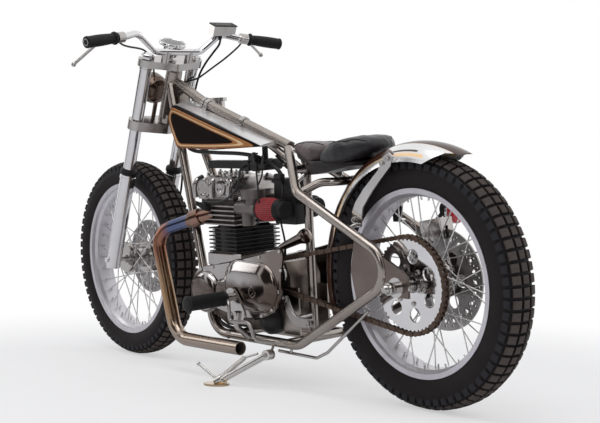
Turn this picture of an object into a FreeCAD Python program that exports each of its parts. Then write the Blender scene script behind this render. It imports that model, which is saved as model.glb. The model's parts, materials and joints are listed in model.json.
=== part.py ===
import FreeCAD, Part
import math
import os
import re
import Sketcher

# A rigid-frame parallel-twin custom motorcycle leaning on its side stand. Millimetres.
# Every piece is drawn in one of three upright frames and then placed: the bike frame (X forward, Y left, Z
# up, with its
# origin under the rear axle on the ground), the steering frame (Z up along the steering axis) and the frame
# of a wheel.

os.makedirs("parts", exist_ok=True)
doc = FreeCAD.newDocument("Motorcycle")
sheet = doc.addObject("Spreadsheet::Sheet", "Sizes")
vec = FreeCAD.Vector
sizeNames = []


def setSizes(sizes):
    # Each size gets a row of the sheet: its name in column A, its value in column B under an alias of that
    # name.
    for name, value in sizes.items():
        sizeNames.append(name)
        row = len(sizeNames)
        sheet.set(f"A{row}", name)
        sheet.set(f"B{row}", str(value))
        sheet.setAlias(f"B{row}", name)
    doc.recompute()


class SizeReader:
    def __getattr__(self, name):
        return float(getattr(sheet, name))


z = SizeReader()

# Sizes of the whole machine.
machineSizes = {
    "wheelbase": 1390,
    "lean_degrees": 5,
    "rake_degrees": 21.5,
    "steer_degrees": -3.6,
    "overrun": 20,
    "fit_gap": 0.3,
    "fork_offset": 34,
}
setSizes(machineSizes)

# Wheels. Both rims are nineteen-inch ones.
wheelSizes = {
    "rear_radius": 344,
    "rear_tyre_width": 108,
    "front_radius": 330,
    "front_tyre_width": 98,
    "rim_radius": 256,
    "rim_depth": 23,
    "rim_wall": 4,
    "bead_depth": 10,
    "flange_lip": 3,
    "rear_rim_width": 90,
    "front_rim_width": 80,
    "spoke_radius": 1.8,
    "nipple_offset": 5.4,
    "nipple_inset": 0.45,
    "spoke_count": 36,
}
setSizes(wheelSizes)


def bound(text):
    # Puts the sheet's name before each size in an expression.
    return re.sub(r"[a-z]\w*", lambda word: ("Sizes." if word.group() in sizeNames else "") + word.group(),
        text)


def originFeature(body, role):
    return next(feature for feature in body.Origin.OriginFeatures if feature.Role == role)


def newBody(label):
    body = doc.addObject("PartDesign::Body", label)
    body.Label = label
    return body


def drawSketch(body, plane, at, loops):
    # A loop is a list of corners, each a pair of expressions, or a circle given as centre and radius
    # expressions.
    # On the XZ plane the sketch's normal is -Y, so the place "at", which is a Y, changes sign.
    sketch = body.newObject("Sketcher::SketchObject", "Sketch")
    sketch.AttachmentSupport = (originFeature(body, plane), "")
    sketch.MapMode = "FlatFace"
    if at != "0":
        sketch.setExpression("AttachmentOffset.Base.z",
            bound("-(" + at + ")" if plane == "XZ_Plane" else at))

    def value(text):
        return float(sketch.evalExpression(bound(text)))

    def bind(kind, geometry, point, text):
        index = sketch.addConstraint(Sketcher.Constraint(kind, -1, 1, geometry, point, value(text)))
        sketch.setExpression(f"Constraints[{index}]", bound(text))

    for loop in loops:
        first = sketch.GeometryCount
        if isinstance(loop, tuple):
            across, up, radius = loop
            sketch.addGeometry(Part.Circle(vec(value(across), value(up), 0), vec(0, 0, 1), value(radius)),
                False)
            bind("DistanceX", first, 3, across)
            bind("DistanceY", first, 3, up)
            index = sketch.addConstraint(Sketcher.Constraint("Radius", first, value(radius)))
            sketch.setExpression(f"Constraints[{index}]", bound(radius))
            continue
        corners = [vec(value(across), value(up), 0) for across, up in loop]
        count = len(corners)
        for i in range(count):
            sketch.addGeometry(Part.LineSegment(corners[i], corners[(i + 1) % count]), False)
        for i in range(count):
            sketch.addConstraint(Sketcher.Constraint("Coincident", first + i, 2, first + (i + 1) % count,
                1))
        for i, (across, up) in enumerate(loop):
            bind("DistanceX", first + i, 1, across)
            bind("DistanceY", first + i, 1, up)
    return sketch


def pad(body, plane, at, loops, length, midplane=False):
    feature = body.newObject("PartDesign::Pad", "Pad")
    feature.Profile = drawSketch(body, plane, at, loops)
    feature.setExpression("Length", bound(length))
    feature.Reversed = plane == "XZ_Plane"
    if midplane:
        feature.SideType = "Symmetric"
    doc.recompute()
    return feature


def cut(body, plane, at, loops, length, midplane=False):
    # Removes stock from "at" towards the plane's positive side; the volume has to fall.
    before = body.Shape.Volume
    feature = body.newObject("PartDesign::Pocket", "Pocket")
    feature.Profile = drawSketch(body, plane, at, loops)
    feature.setExpression("Length", bound(length))
    feature.Reversed = plane != "XZ_Plane"
    if midplane:
        feature.SideType = "Symmetric"
    doc.recompute()
    if body.Shape.Volume >= before:
        raise RuntimeError(body.Label + ": a pocket cut nothing")
    return feature


def revolve(body, loops, axis="Y_Axis", plane="XY_Plane"):
    feature = body.newObject("PartDesign::Revolution", "Revolution")
    feature.Profile = drawSketch(body, plane, "0", loops)
    feature.ReferenceAxis = (originFeature(body, axis), [""])
    feature.Angle = 360
    doc.recompute()
    return feature


def polar(body, features, count, axis="Y_Axis"):
    pattern = body.newObject("PartDesign::PolarPattern", "PolarPattern")
    pattern.Originals = features
    pattern.Axis = (originFeature(body, axis), [""])
    pattern.Angle = 360
    pattern.setExpression("Occurrences", bound(count))
    body.Tip = pattern
    doc.recompute()
    return pattern


def linear(body, features, length, count, axis="Z_Axis"):
    pattern = body.newObject("PartDesign::LinearPattern", "LinearPattern")
    pattern.Originals = features
    pattern.Direction = (originFeature(body, axis), [""])
    pattern.setExpression("Length", bound(length))
    pattern.setExpression("Occurrences", bound(count))
    body.Tip = pattern
    doc.recompute()
    return pattern


def mirror(body, features, plane="XZ_Plane"):
    copy = body.newObject("PartDesign::Mirrored", "Mirrored")
    copy.Originals = features
    copy.MirrorPlane = (originFeature(body, plane), [""])
    body.Tip = copy
    doc.recompute()
    return copy


def outline(shares, across, up, acrossStart="0", upStart="0"):
    # Corners of an outline as expressions: shares of two named sizes, from a named start.
    return [(f"{acrossStart} + {a} * {across}", f"{upStart} + {b} * {up}") for a, b in shares]


def solidPiece(label, shape):
    piece = doc.addObject("Part::Feature", label)
    piece.Label = label
    piece.Shape = shape
    return piece


def route(shares, length, width, height):
    return [vec(a * length, b * width, c * height) for a, b, c in shares]


def bentWire(points, bends):
    # Straight runs joined by tangent arcs, one bend radius to each inner point.
    edges = []
    start = points[0]
    for i in range(1, len(points) - 1):
        corner = points[i]
        back = (points[i - 1] - corner).normalize()
        ahead = (points[i + 1] - corner).normalize()
        half = back.getAngle(ahead) / 2
        reach = bends[i - 1] / math.tan(half)
        middle = (back + ahead).normalize()
        centre = corner + middle * (bends[i - 1] / math.sin(half))
        arcStart, arcEnd = corner + back * reach, corner + ahead * reach
        edges.append(Part.LineSegment(start, arcStart).toShape())
        edges.append(Part.Arc(arcStart, centre - middle * bends[i - 1], arcEnd).toShape())
        start = arcEnd
    edges.append(Part.LineSegment(start, points[-1]).toShape())
    return Part.Wire(edges)


def sweep(wire, radius):
    first = wire.Edges[0]
    begin = first.valueAt(first.FirstParameter)
    ring = Part.Wire(Part.Circle(begin, first.tangentAt(first.FirstParameter), radius).toShape())
    tube = wire.makePipeShell([ring], True, False)
    if abs(tube.Volume / (math.pi * radius ** 2 * wire.Length) - 1) > 0.01:
        raise RuntimeError("a swept tube has lost volume")
    return tube


def bentTube(points, bends, radius):
    return sweep(bentWire(points, bends), radius)


def rod(start, end, radius):
    return Part.makeCylinder(radius, start.distanceToPoint(end), start, end - start)


def bar(start, end, width, thickness, up=vec(0, 0, 1)):
    # A straight flat bar: thickness across, width up.
    along = (end - start).normalize()
    side = along.cross(up).normalize()
    top = side.cross(along)
    corners = [start + side * (thickness * a) + top * (width * b) for a, b in
               ((-0.5, -0.5), (0.5, -0.5), (0.5, 0.5), (-0.5, 0.5))]
    return Part.Face(Part.makePolygon(corners + corners[:1])).extrude(end - start)


def block(low, high):
    return Part.makeBox(high.x - low.x, high.y - low.y, high.z - low.z, low)


def profilePrism(corners, depth):
    return Part.Face(Part.makePolygon(corners + corners[:1])).extrude(depth)


def fused(*shapes):
    return shapes[0].multiFuse(list(shapes[1:])).removeSplitter() if len(shapes) > 1 else shapes[0]


def bothSides(shape):
    return [shape, shape.mirror(vec(), vec(0, 1, 0))]


def lathe(corners, axisStart, axis):
    # Turns a profile, given as (along, out) pairs, about an axis.
    side = axis.cross(vec(0, 0, 1)) if abs(axis.normalize().z) < 0.9 else axis.cross(vec(0, 1, 0))
    side.normalize()
    points = [axisStart + axis * a + side * b for a, b in corners]
    face = Part.Face(Part.makePolygon(points + points[:1]))
    return face.revolve(axisStart, axis, 360)


def hullOutline(circles):
    # The closed outline round a chain of circles given anticlockwise as (centre across, centre up, radius).
    edges, ends = [], []
    count = len(circles)
    for i in range(count):
        (x1, y1, r1), (x2, y2, r2) = circles[i], circles[(i + 1) % count]
        distance = math.hypot(x2 - x1, y2 - y1)
        angle = math.atan2(y2 - y1, x2 - x1) - math.acos((r1 - r2) / distance)
        normal = vec(math.cos(angle), math.sin(angle), 0)
        ends.append((vec(x1, y1, 0) + normal * r1, vec(x2, y2, 0) + normal * r2, angle))
    for i in range(count):
        x, y, radius = circles[i]
        into, out = ends[i - 1], ends[i]
        turn = (out[2] - into[2]) % (2 * math.pi)
        middle = into[2] + turn / 2
        edges.append(Part.Arc(into[1], vec(x + radius * math.cos(middle), y + radius * math.sin(middle), 0),
                              out[0]).toShape())
        edges.append(Part.LineSegment(out[0], out[1]).toShape())
    return Part.Wire(edges)


def hullPlate(circles, start, thickness, plane):
    # A plate with that outline. Plane "XZ": the circles lie in X and Z and the plate grows along +Y from
    # "start".
    # Plane "XY": they lie in X and Y and it grows along +Z.
    plate = Part.Face(hullOutline(circles)).extrude(vec(0, 0, thickness))
    if plane == "XY":
        plate.translate(vec(0, 0, start))
    else:
        plate.rotate(vec(), vec(1, 0, 0), 90)
        plate.translate(vec(0, start + thickness, 0))
    return plate


# Frames of the machine.
lean = FreeCAD.Placement(vec(), FreeCAD.Rotation(vec(1, 0, 0), -z.lean_degrees))
rake = math.radians(z.rake_degrees)
trail = (z.front_radius * math.sin(rake) - z.fork_offset) / math.cos(rake)
steering = lean * FreeCAD.Placement(vec(z.wheelbase + trail, 0, 0),
    FreeCAD.Rotation(vec(0, 1, 0), -z.rake_degrees))
steered = steering * FreeCAD.Placement(vec(), FreeCAD.Rotation(vec(0, 0, 1), z.steer_degrees))
frontAxleUp = (z.front_radius - z.fork_offset * math.sin(rake)) / math.cos(rake)
frontWheel = steered * FreeCAD.Placement(vec(z.fork_offset, 0, frontAxleUp), FreeCAD.Rotation())
rearWheel = lean * FreeCAD.Placement(vec(0, 0, z.rear_radius), FreeCAD.Rotation())
nodes = []
ownShapes = {}


def place(piece, placement):
    # Keeps the piece's shape in its own frame for the pieces that fit it, then carries it to its place.
    ownShapes[piece.Label] = piece.Shape.copy()
    piece.Placement = placement * piece.Placement
    nodes.append(piece)


# Frame tubes. Their routes are shares of the wheelbase, the loops' half-width and the head tube's height.
frameSizes = {
    "loop_half_width": 120,
    "frame_height": 950,
    "top_tube_radius": 15.5,
    "loop_tube_radius": 14,
    "brace_tube_radius": 12,
    "post_tube_radius": 13,
    "head_tube_radius": 26,
    "head_tube_bottom": 852,
    "head_tube_top": 1026,
    "steering_bore": 16,
    "top_bend": 300,
    "front_bend": 85,
    "rear_rise_bend": 95,
    "axle_bend": 67,
    "seat_bend": 70,
    "brace_bend": 45,
    "arch_bend": 60,
    "gusset_half_width": 22,
}
setSizes(frameSizes)
topTubeShares = (
    (0.8058, 0, 0.9768), (0.682, 0, 0.8905), (0.3921, 0, 0.7463),
)
loopShares = (
    (0.7971, 0.1667, 0.96), (0.5906, 0.8667, 0.1526), (0.2964, 0.9667, 0.1526), (-0.0223, 1, 0.4084),
    (0.2791, 0.9833, 0.6158), (0.3856, 0.1333, 0.7389),
)
braceShares = (
    (0.5576, 0, 0.8284), (0.4604, 0, 0.7537), (0.3439, 0, 0.6632),
)
postShares = (
    (0.3432, 0, 0.7074), (0.341, 0, 0.1526),
)
archShares = (
    (0.282, 0.8667, 0.6126), (0.2518, 0.5167, 0.6432), (0.2129, 0.2833, 0.6442), (0.2129, -0.2833, 0.6442),
    (0.2518, -0.5167, 0.6432), (0.282, -0.8667, 0.6126),
)

gussetShares = (
    (0.8, 0.9642), (0.764, 0.9389), (0.764, 0.8589), (0.7885, 0.8421), (0.8345, 0.8653),
)


def bikeRoute(shares):
    return route(shares, z.wheelbase, z.loop_half_width, z.frame_height)


def buildFrame():
    steeringAxis = lean.inverse() * steering
    low = steeringAxis * vec(0, 0, z.head_tube_bottom)
    high = steeringAxis * vec(0, 0, z.head_tube_top)
    axis = high - low
    bore = rod(low - axis, high + axis, z.steering_bore)
    top = bikeRoute(topTubeShares)
    brace = bikeRoute(braceShares)
    post = bikeRoute(postShares)
    gusset = [vec(a * z.wheelbase, -z.gusset_half_width, b * z.frame_height) for a, b in gussetShares]
    spine = fused(
        rod(low, high, z.head_tube_radius),
        bentTube(top, [z.top_bend], z.top_tube_radius),
        bentTube(brace, [z.brace_bend], z.brace_tube_radius),
        rod(post[0], post[1], z.post_tube_radius),
        profilePrism(gusset, vec(0, 2 * z.gusset_half_width, 0)),
    ).cut(bore)
    loop = bentTube(bikeRoute(loopShares), [z.front_bend, z.rear_rise_bend, z.axle_bend, z.seat_bend],
        z.loop_tube_radius)
    arch = bentTube(bikeRoute(archShares), [z.arch_bend, z.brace_bend, z.brace_bend, z.arch_bend],
        z.brace_tube_radius)
    lowX, lowZ = post[1].x, post[1].z
    frontX = bikeRoute(loopShares)[1].x - z.front_bend
    reach = z.loop_half_width
    lowCross = rod(vec(lowX, -reach, lowZ), vec(lowX, reach, lowZ), z.brace_tube_radius)
    frontCross = rod(vec(frontX, -reach, lowZ), vec(frontX, reach, lowZ), z.brace_tube_radius)
    tieX, tieZ = post[0].x, post[0].z - z.loop_tube_radius * 2
    tie = rod(vec(tieX, -reach / 2, tieZ), vec(tieX, reach / 2, tieZ), z.brace_tube_radius)
    loops = fused(*bothSides(loop), arch, lowCross, frontCross, tie).cut(bore).cut(spine)
    place(solidPiece("frame_spine", spine), lean)
    place(solidPiece("frame_loops", loops), lean)
    return spine, loops


spine, loops = buildFrame()

# Rear axle, its plates in the bends of the loops, spacers and nuts.
axleSizes = {
    "plate_thickness": 8,
    "axle_radius": 10,
    "axle_end": 157,
    "axle_nut_radius": 16,
    "axle_nut_length": 14,
    "spacer_radius": 15,
    "hub_left_end": 78,
    "hub_right_end": 72,
}
setSizes(axleSizes)
plateShares = (
    (-0.1337, -0.0756), (-0.1337, 0.0814), (-0.0698, 0.1366), (0.436, 0.375), (0.4942, 0.0988),
    (0.436, -0.1628), (0.1744, -0.0174), (0.0291, -0.0756),
)


def buildAxlePlates():
    side = [vec(a * z.rear_radius, z.loop_half_width - z.plate_thickness / 2,
        z.rear_radius * (1 + b)) for a, b in plateShares]
    plate = profilePrism(side, vec(0, z.plate_thickness, 0)).cut(loops)
    centre = vec(0, 0, z.rear_radius)
    outer = vec(0, z.axle_end, 0)
    axle = rod(centre - outer, centre + outer, z.axle_radius)
    inside = z.loop_half_width - z.plate_thickness / 2
    outside = z.loop_half_width + z.plate_thickness / 2
    pieces = bothSides(plate) + [
        axle,
        rod(centre + vec(0, z.hub_left_end + z.fit_gap, 0), centre + vec(0, inside, 0), z.spacer_radius),
        rod(centre - vec(0, z.hub_right_end + z.fit_gap, 0), centre - vec(0, inside, 0), z.spacer_radius),
    ]
    for shape in bothSides(rod(centre + vec(0, outside, 0), centre + vec(0, outside + z.axle_nut_length, 0),
        z.axle_nut_radius)):
        pieces.append(shape)
    place(solidPiece("axle_plates", fused(*pieces)), lean)


buildAxlePlates()

# Engine. The crankcase is narrow where the front sprocket and the downtubes pass, and wide between them.
engineSizes = {
    "case_rear": 505,
    "case_length": 395,
    "case_bottom": 150,
    "case_height": 222,
    "case_half_width": 58,
    "cover_plane": 112,
    "cover_depth": 36,
    "barrel_base": 345,
    "barrel_front": 852,
    "barrel_length": 136,
    "barrel_half_width": 86,
    "cylinder_radius": 41,
    "cylinder_spacing": 86,
    "fin_thickness": 4,
    "barrel_fin_pitch": 12,
    "barrel_fin_count": 10,
    "head_base": 474,
    "head_front": 908,
    "head_length": 192,
    "head_half_width": 90,
    "head_fin_reach": 14,
    "head_fin_pitch": 14,
    "head_fin_count": 5,
    "head_top": 552,
    "rocker_top": 622,
    "rocker_half_width": 84,
    "points_radius": 30,
    "points_depth": 10,
    "points_x": 861,
    "points_z": 583,
    "stud_radius": 8,
    "stud_height": 10,
    "stud_spacing": 80,
}
setSizes(engineSizes)
caseShares = (
    (0.9747, 0.3604), (1, 0.6757), (0.919, 0.8784), (0.3418, 0.8784), (0.2785, 1), (0.0506, 1),
    (0, 0.8108), (0, 0.3604), (0.1139, 0.0901), (0.3418, 0.045), (0.7848, 0.045), (0.9241, 0.1577),
)
wideShares = (
    (0.7772, 0.2252), (0.8608, 0.8784), (0.2709, 0.8784), (0.2709, 0.2252),
)
coverShares = (
    (1.0051, 0.5721), (0.9823, 0.7297), (0.919, 0.8468), (0.8354, 0.9009), (0.7215, 0.9279), (0.4937, 1),
    (0.1392, 1.1261), (-0.1089, 1.2342), (-0.1215, 1.1261), (-0.0886, 0.8784), (-0.0835, 0.6306),
    (0, 0.3829), (0.1392, 0.2793), (0.2911, 0.2523), (0.4937, 0.2523), (0.6962, 0.3243), (0.7468, 0.2793),
    (0.8481, 0.2523), (0.9494, 0.3514), (0.9949, 0.4595),
)
rockerShares = (
    (0.0625, 0), (0.9375, 0), (1.0208, 0.3429), (0.9688, 0.7714), (0.6771, 1), (0.1458, 0.9143),
    (-0.0104, 0.3714),
)


def buildEngine():
    case = newBody("crankcase")
    pad(case, "XZ_Plane", "-case_half_width",
        [outline(caseShares, "case_length", "case_height", "case_rear", "case_bottom")],
        "2 * case_half_width")
    pad(case, "XZ_Plane", "-cover_plane",
        [outline(wideShares, "case_length", "case_height", "case_rear", "case_bottom")],
        "2 * cover_plane")
    place(case, lean)

    barrels = newBody("cylinder_barrels")
    middle = "(barrel_front - barrel_length / 2)"
    base = "barrel_base + fit_gap"
    for spread in ("cylinder_spacing / 2", "-cylinder_spacing / 2"):
        pad(barrels, "XY_Plane", base, [(middle, spread, "cylinder_radius")],
            "head_base - barrel_base - fit_gap")
    fin = pad(barrels, "XY_Plane", "barrel_base + barrel_fin_pitch - fin_thickness", [[
        ("barrel_front - barrel_length", "-barrel_half_width"), ("barrel_front", "-barrel_half_width"),
        ("barrel_front", "barrel_half_width"), ("barrel_front - barrel_length",
        "barrel_half_width")]], "fin_thickness")
    linear(barrels, [fin], "barrel_fin_pitch * (barrel_fin_count - 1)", "barrel_fin_count")
    place(barrels, lean)

    head = newBody("cylinder_head")
    coreRear, coreFront = "head_front - head_length + head_fin_reach", "head_front - head_fin_reach"
    coreSide = "(head_half_width - head_fin_reach)"
    pad(head, "XY_Plane", "head_base", [[
        (coreRear, f"-{coreSide}"), (coreFront, f"-{coreSide}"), (coreFront, coreSide), (coreRear,
        coreSide)]],
        "head_top - head_base")
    fin = pad(head, "XY_Plane", "head_base", [[
        ("head_front - head_length", "-head_half_width"), ("head_front", "-head_half_width"),
        ("head_front", "head_half_width"), ("head_front - head_length",
        "head_half_width")]], "fin_thickness")
    linear(head, [fin], "head_fin_pitch * (head_fin_count - 1)", "head_fin_count")
    pad(head, "XZ_Plane", "-rocker_half_width", [outline(
        rockerShares, "head_length", "(rocker_top - head_top)", "head_front - head_length", "head_top")],
        "2 * rocker_half_width")
    for start in ("rocker_half_width", "-rocker_half_width - points_depth"):
        pad(head, "XZ_Plane", start, [("points_x", "points_z", "points_radius")], "points_depth")
    for spot in ("points_x", "points_x - stud_spacing"):
        pad(head, "XY_Plane", "points_z", [(spot, "0", "stud_radius")],
            "rocker_top + stud_height - points_z")
    place(head, lean)

    covers = newBody("engine_covers")
    covers.AllowCompound = True
    side = pad(covers, "XZ_Plane", "cover_plane", [outline(
        coverShares, "case_length", "case_height", "case_rear", "case_bottom")], "cover_depth")
    mirror(covers, [side])
    place(covers, lean)


buildEngine()

# Front sprocket and chain. The chain is one closed loop of links that stays put while the wheel turns
# inside it.
chainSizes = {
    "chain_plane": 70.5,
    "chain_pitch_radius": 130,
    "front_pitch_radius": 41,
    "front_sprocket_x": 545,
    "front_sprocket_z": 337,
    "chain_outer": 7,
    "chain_inner": 5,
    "chain_width": 19,
    "sprocket_thickness": 6,
    "sprocket_clearance": 0.8,
    "sprocket_shaft_radius": 20,
}
setSizes(chainSizes)


def chainOutline(offset):
    return hullOutline([(0, z.rear_radius, z.chain_pitch_radius + offset),
                        (z.front_sprocket_x, z.front_sprocket_z, z.front_pitch_radius + offset)])


def buildChain():
    band = Part.Face(chainOutline(z.chain_outer)).cut(Part.Face(chainOutline(-z.chain_inner)))
    chain = band.extrude(vec(0, 0, z.chain_width))
    chain.rotate(vec(), vec(1, 0, 0), 90)
    chain.translate(vec(0, z.chain_plane + z.chain_width / 2, 0))
    place(solidPiece("drive_chain", chain), lean)

    sprocket = newBody("front_sprocket")
    rim = ("front_sprocket_x", "front_sprocket_z", "front_pitch_radius - chain_inner - fit_gap")
    shaft = ("front_sprocket_x", "front_sprocket_z", "sprocket_shaft_radius")
    pad(sprocket, "XZ_Plane", "chain_plane - sprocket_thickness / 2", [rim], "sprocket_thickness")
    pad(sprocket, "XZ_Plane", "case_half_width", [shaft],
        "chain_plane - case_half_width + sprocket_thickness")
    place(sprocket, lean)


buildChain()

# Plates that hold the engine in the frame: at the downtubes, over the lower cross tube and at the seat
# post.
mountSizes = {
    "mount_plate": 6,
    "mount_spread": 59.5,
}
setSizes(mountSizes)


def buildMounts():
    case = ownShapes["crankcase"]
    wheelbase, height = z.wheelbase, z.frame_height
    shapes = []
    for shares in mountShares:
        corners = [vec(a * wheelbase, z.mount_spread - z.mount_plate, b * height) for a, b in shares]
        shapes += bothSides(profilePrism(corners, vec(0, z.mount_plate, 0)))
    plates = Part.Compound(shapes).cut(spine).cut(loops).cut(case)
    place(solidPiece("engine_mounts", plates), lean)


mountShares = (
    (
    (0.6115, 0.2263), (0.6511, 0.2263), (0.6655, 0.3474), (0.6245, 0.3474),
),
    (
    (0.3381, 0.1684), (0.3885, 0.1684), (0.3885, 0.3158), (0.3381, 0.3158),
),
)
buildMounts()

# Tank, its two straps and its cap. It hangs under the top tube, which stands proud of it in a shallow
# channel.
tankSizes = {
    "tank_length": 456,
    "tank_rear": 600,
    "tank_half_width": 80,
    "tank_bottom": 700,
    "tank_height": 150,
    "tank_crown": 10,
    "tank_edge": 7,
    "tube_gap": 0.3,
    "strap_radius": 19,
    "strap_width": 12,
    "cap_radius": 32,
    "cap_height": 12,
    "cap_neck_depth": 36,
    "cap_neck_radius": 25,
    "cap_x": 955,
    "cap_y": -50,
    "cap_z": 850,
}
setSizes(tankSizes)
# Stations from the rear: place, bottom, top edge, half-width.
tankShares = (
    (0, 0.08, 0.1133, 0.825), (0.4803, 0.02, 0.54, 1), (0.8947, 0.06, 0.9267, 1),
    (0.9364, 0.3, 0.9667, 0.9875), (1, 0.6533, 0.6933, 0.925),
)
strapShares = (0.761, 0.3509)


def buildTank():
    sections = []
    edge = z.tank_edge
    for a, low, high, wide in tankShares:
        x, w = z.tank_rear + a * z.tank_length, wide * z.tank_half_width
        low, high = z.tank_bottom + low * z.tank_height, z.tank_bottom + high * z.tank_height
        crown = high + z.tank_crown * wide
        cut = min(edge, (high - low) / 3)
        flat = z.top_tube_radius
        half = [(w - cut, low), (w, low + cut), (w, high - cut), (w - cut, high), (flat, crown)]
        ring = [vec(x, y, up) for y, up in half] + [vec(x, -y, up) for y, up in reversed(half)]
        sections.append(Part.makePolygon(ring + ring[:1]))
    tank = Part.makeLoft(sections, True, True)
    top = bikeRoute(topTubeShares)
    channel = bentTube(top, [z.top_bend], z.top_tube_radius + z.tube_gap)
    brace = bentTube(bikeRoute(braceShares), [z.brace_bend], z.brace_tube_radius + z.tube_gap)
    tank = tank.cut(channel).cut(brace).cut(loops)
    place(solidPiece("fuel_tank", tank), lean)

    wire = bentWire(top, [z.top_bend])
    fittings = []
    for share in strapShares:
        x = z.tank_rear + share * z.tank_length
        line = wire.Edges[0] if x > top[1].x else wire.Edges[2]
        start, end = line.Vertexes[0].Point, line.Vertexes[1].Point
        along = (end - start).normalize()
        point = start + along * ((x - start.x) / along.x)
        ring = rod(point - along * (z.strap_width / 2), point + along * (z.strap_width / 2), z.strap_radius)
        ring = ring.cut(rod(point - along * z.strap_width, point + along * z.strap_width,
            z.top_tube_radius))
        fittings.append(ring.cut(tank).cut(spine))
    seat = vec(z.cap_x, z.cap_y, z.cap_z)
    neck = rod(seat - vec(0, 0, z.cap_neck_depth), seat, z.cap_neck_radius).cut(tank).cut(channel)
    lid = rod(seat, seat + vec(0, 0, z.cap_height), z.cap_radius).cut(channel)
    fittings.append(fused(max(neck.Solids, key=lambda part: part.BoundBox.ZMax), lid))
    place(solidPiece("tank_fittings", Part.Compound(fittings)), lean)


buildTank()

# Saddle: a low front pad, a taller rear pad that is round behind, and the pan that carries both.
saddleSizes = {
    "rear_pad_x": 257,
    "rear_pad_radius": 115,
    "rear_pad_front_x": 296,
    "rear_pad_shoulder": 62,
    "rear_pad_corner": 46,
    "nose_x": 493,
    "nose_radius": 30,
    "front_pad_x": 372,
    "front_pad_shoulder": 44,
    "front_pad_radius": 44,
    "saddle_base": 662,
    "saddle_height": 80,
    "saddle_length": 420,
    "saddle_rear": 103,
    "pan_half_width": 58,
    "pan_depth": 40,
    "fender_crown": 380,
    "saddle_gap": 3,
}
setSizes(saddleSizes)
rearPadShares = (
    (0.0643, 0), (0.5286, 0), (0.5714, 0.375), (0.5524, 0.5625), (0.4286, 0.825), (0.3571, 0.925),
    (0.2381, 1), (0.1381, 1), (0.1071, 0.9), (0.0857, 0.6875),
)
frontPadShares = (
    (0.5524, 0), (0.7381, 0), (0.8857, 0.175), (1.0048, 0.475), (1.0071, 0.625), (0.981, 0.7375),
    (0.7857, 0.725), (0.5524, 0.65),
)
panShares = (
    (0.7476, -0.05), (0.7095, -0.8), (0.5095, -0.55), (0.2905, -0.075), (0.2905, -0.025), (0.5476, -0.025),
)


def buildSaddle():
    def profile(shares, height, halfWidth):
        corners = [vec(z.saddle_rear + a * z.saddle_length, -halfWidth,
            z.saddle_base + b * height) for a, b in shares]
        return profilePrism(corners, vec(0, 2 * halfWidth, 0))

    low, tall = z.saddle_base - z.saddle_height, 3 * z.saddle_height
    rearPlan = hullPlate([(z.rear_pad_x, 0, z.rear_pad_radius),
        (z.rear_pad_front_x, -z.rear_pad_shoulder, z.rear_pad_corner),
                          (z.rear_pad_front_x, z.rear_pad_shoulder, z.rear_pad_corner)], low, tall, "XY")
    frontPlan = hullPlate([(z.front_pad_x, z.front_pad_shoulder, z.front_pad_radius),
                           (z.front_pad_x, -z.front_pad_shoulder, z.front_pad_radius), (z.nose_x, 0,
                           z.nose_radius)], low, tall, "XY")
    rear = rearPlan.common(profile(rearPadShares, z.saddle_height, z.rear_pad_radius + z.overrun))
    front = frontPlan.common(profile(frontPadShares, z.saddle_height, z.rear_pad_radius))
    centre = vec(0, 0, z.rear_radius)
    overFender = vec(0, z.fender_half_width + z.saddle_gap, 0)
    wheelRoom = rod(centre - overFender, centre + overFender, z.fender_crown + z.saddle_gap)
    seat = fused(rear, front).cut(wheelRoom).cut(loops).cut(spine)
    place(solidPiece("saddle", seat), lean)
    return profile(panShares, z.pan_depth, z.pan_half_width).cut(wheelRoom).cut(spine).cut(loops).cut(seat)


# Rear fender: a curved shell round the tyre, narrow in front where the chain passes. Behind the corner of
# its side it
# is cut away upwards to a round tail.
fenderSizes = {
    "fender_edge": 328,
    "fender_thickness": 3,
    "fender_half_width": 74,
}
setSizes(fenderSizes)
seatPan = buildSaddle()
# Stations by angle up from straight ahead: angle in degrees, half-width share.
fenderAngles = (-20, -5, 12, 30, 50, 70, 90, 103, 114.5)
fenderWidthShares = (0.757, 0.757, 0.757, 0.82, 0.93, 1.0, 1.0, 0.99, 0.96)
# The cut behind the corner, as shares of the crown's radius from the axle.
tailShares = (
    (-0.1579, 0.8447), (-0.2447, 0.8895), (-0.3105, 0.9184), (-0.3947, 0.9105), (-0.6053, 0.7895),
    (-0.6053, 0.5263), (-0.1579, 0.5263),
)


def buildFender():
    sections = []
    centre = vec(0, 0, z.rear_radius)
    side = vec(0, 1, 0)
    for angle, share in zip(fenderAngles, fenderWidthShares):
        w = z.fender_half_width * share
        outward = vec(math.cos(math.radians(angle)), 0, math.sin(math.radians(angle)))
        thick = z.fender_thickness
        outerPoints = [centre + outward * z.fender_edge - side * w, centre + outward * z.fender_crown,
                       centre + outward * z.fender_edge + side * w]
        innerPoints = [centre + outward * z.fender_edge + side * (w - thick),
            centre + outward * (z.fender_crown - thick),
                       centre + outward * z.fender_edge - side * (w - thick)]
        sections.append(Part.Wire([
            Part.Arc(*outerPoints).toShape(), Part.LineSegment(outerPoints[2], innerPoints[0]).toShape(),
            Part.Arc(*innerPoints).toShape(), Part.LineSegment(innerPoints[2], outerPoints[0]).toShape()]))
    fender = Part.makeLoft(sections, True, False)
    corners = [centre + vec(a * z.fender_crown, -z.fender_edge, b * z.fender_crown) for a, b in tailShares]
    fender = fender.cut(profilePrism(corners, side * (2 * z.fender_edge))).cut(loops)
    place(solidPiece("rear_fender", fender), lean)
    return fender


fender = buildFender()

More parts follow.
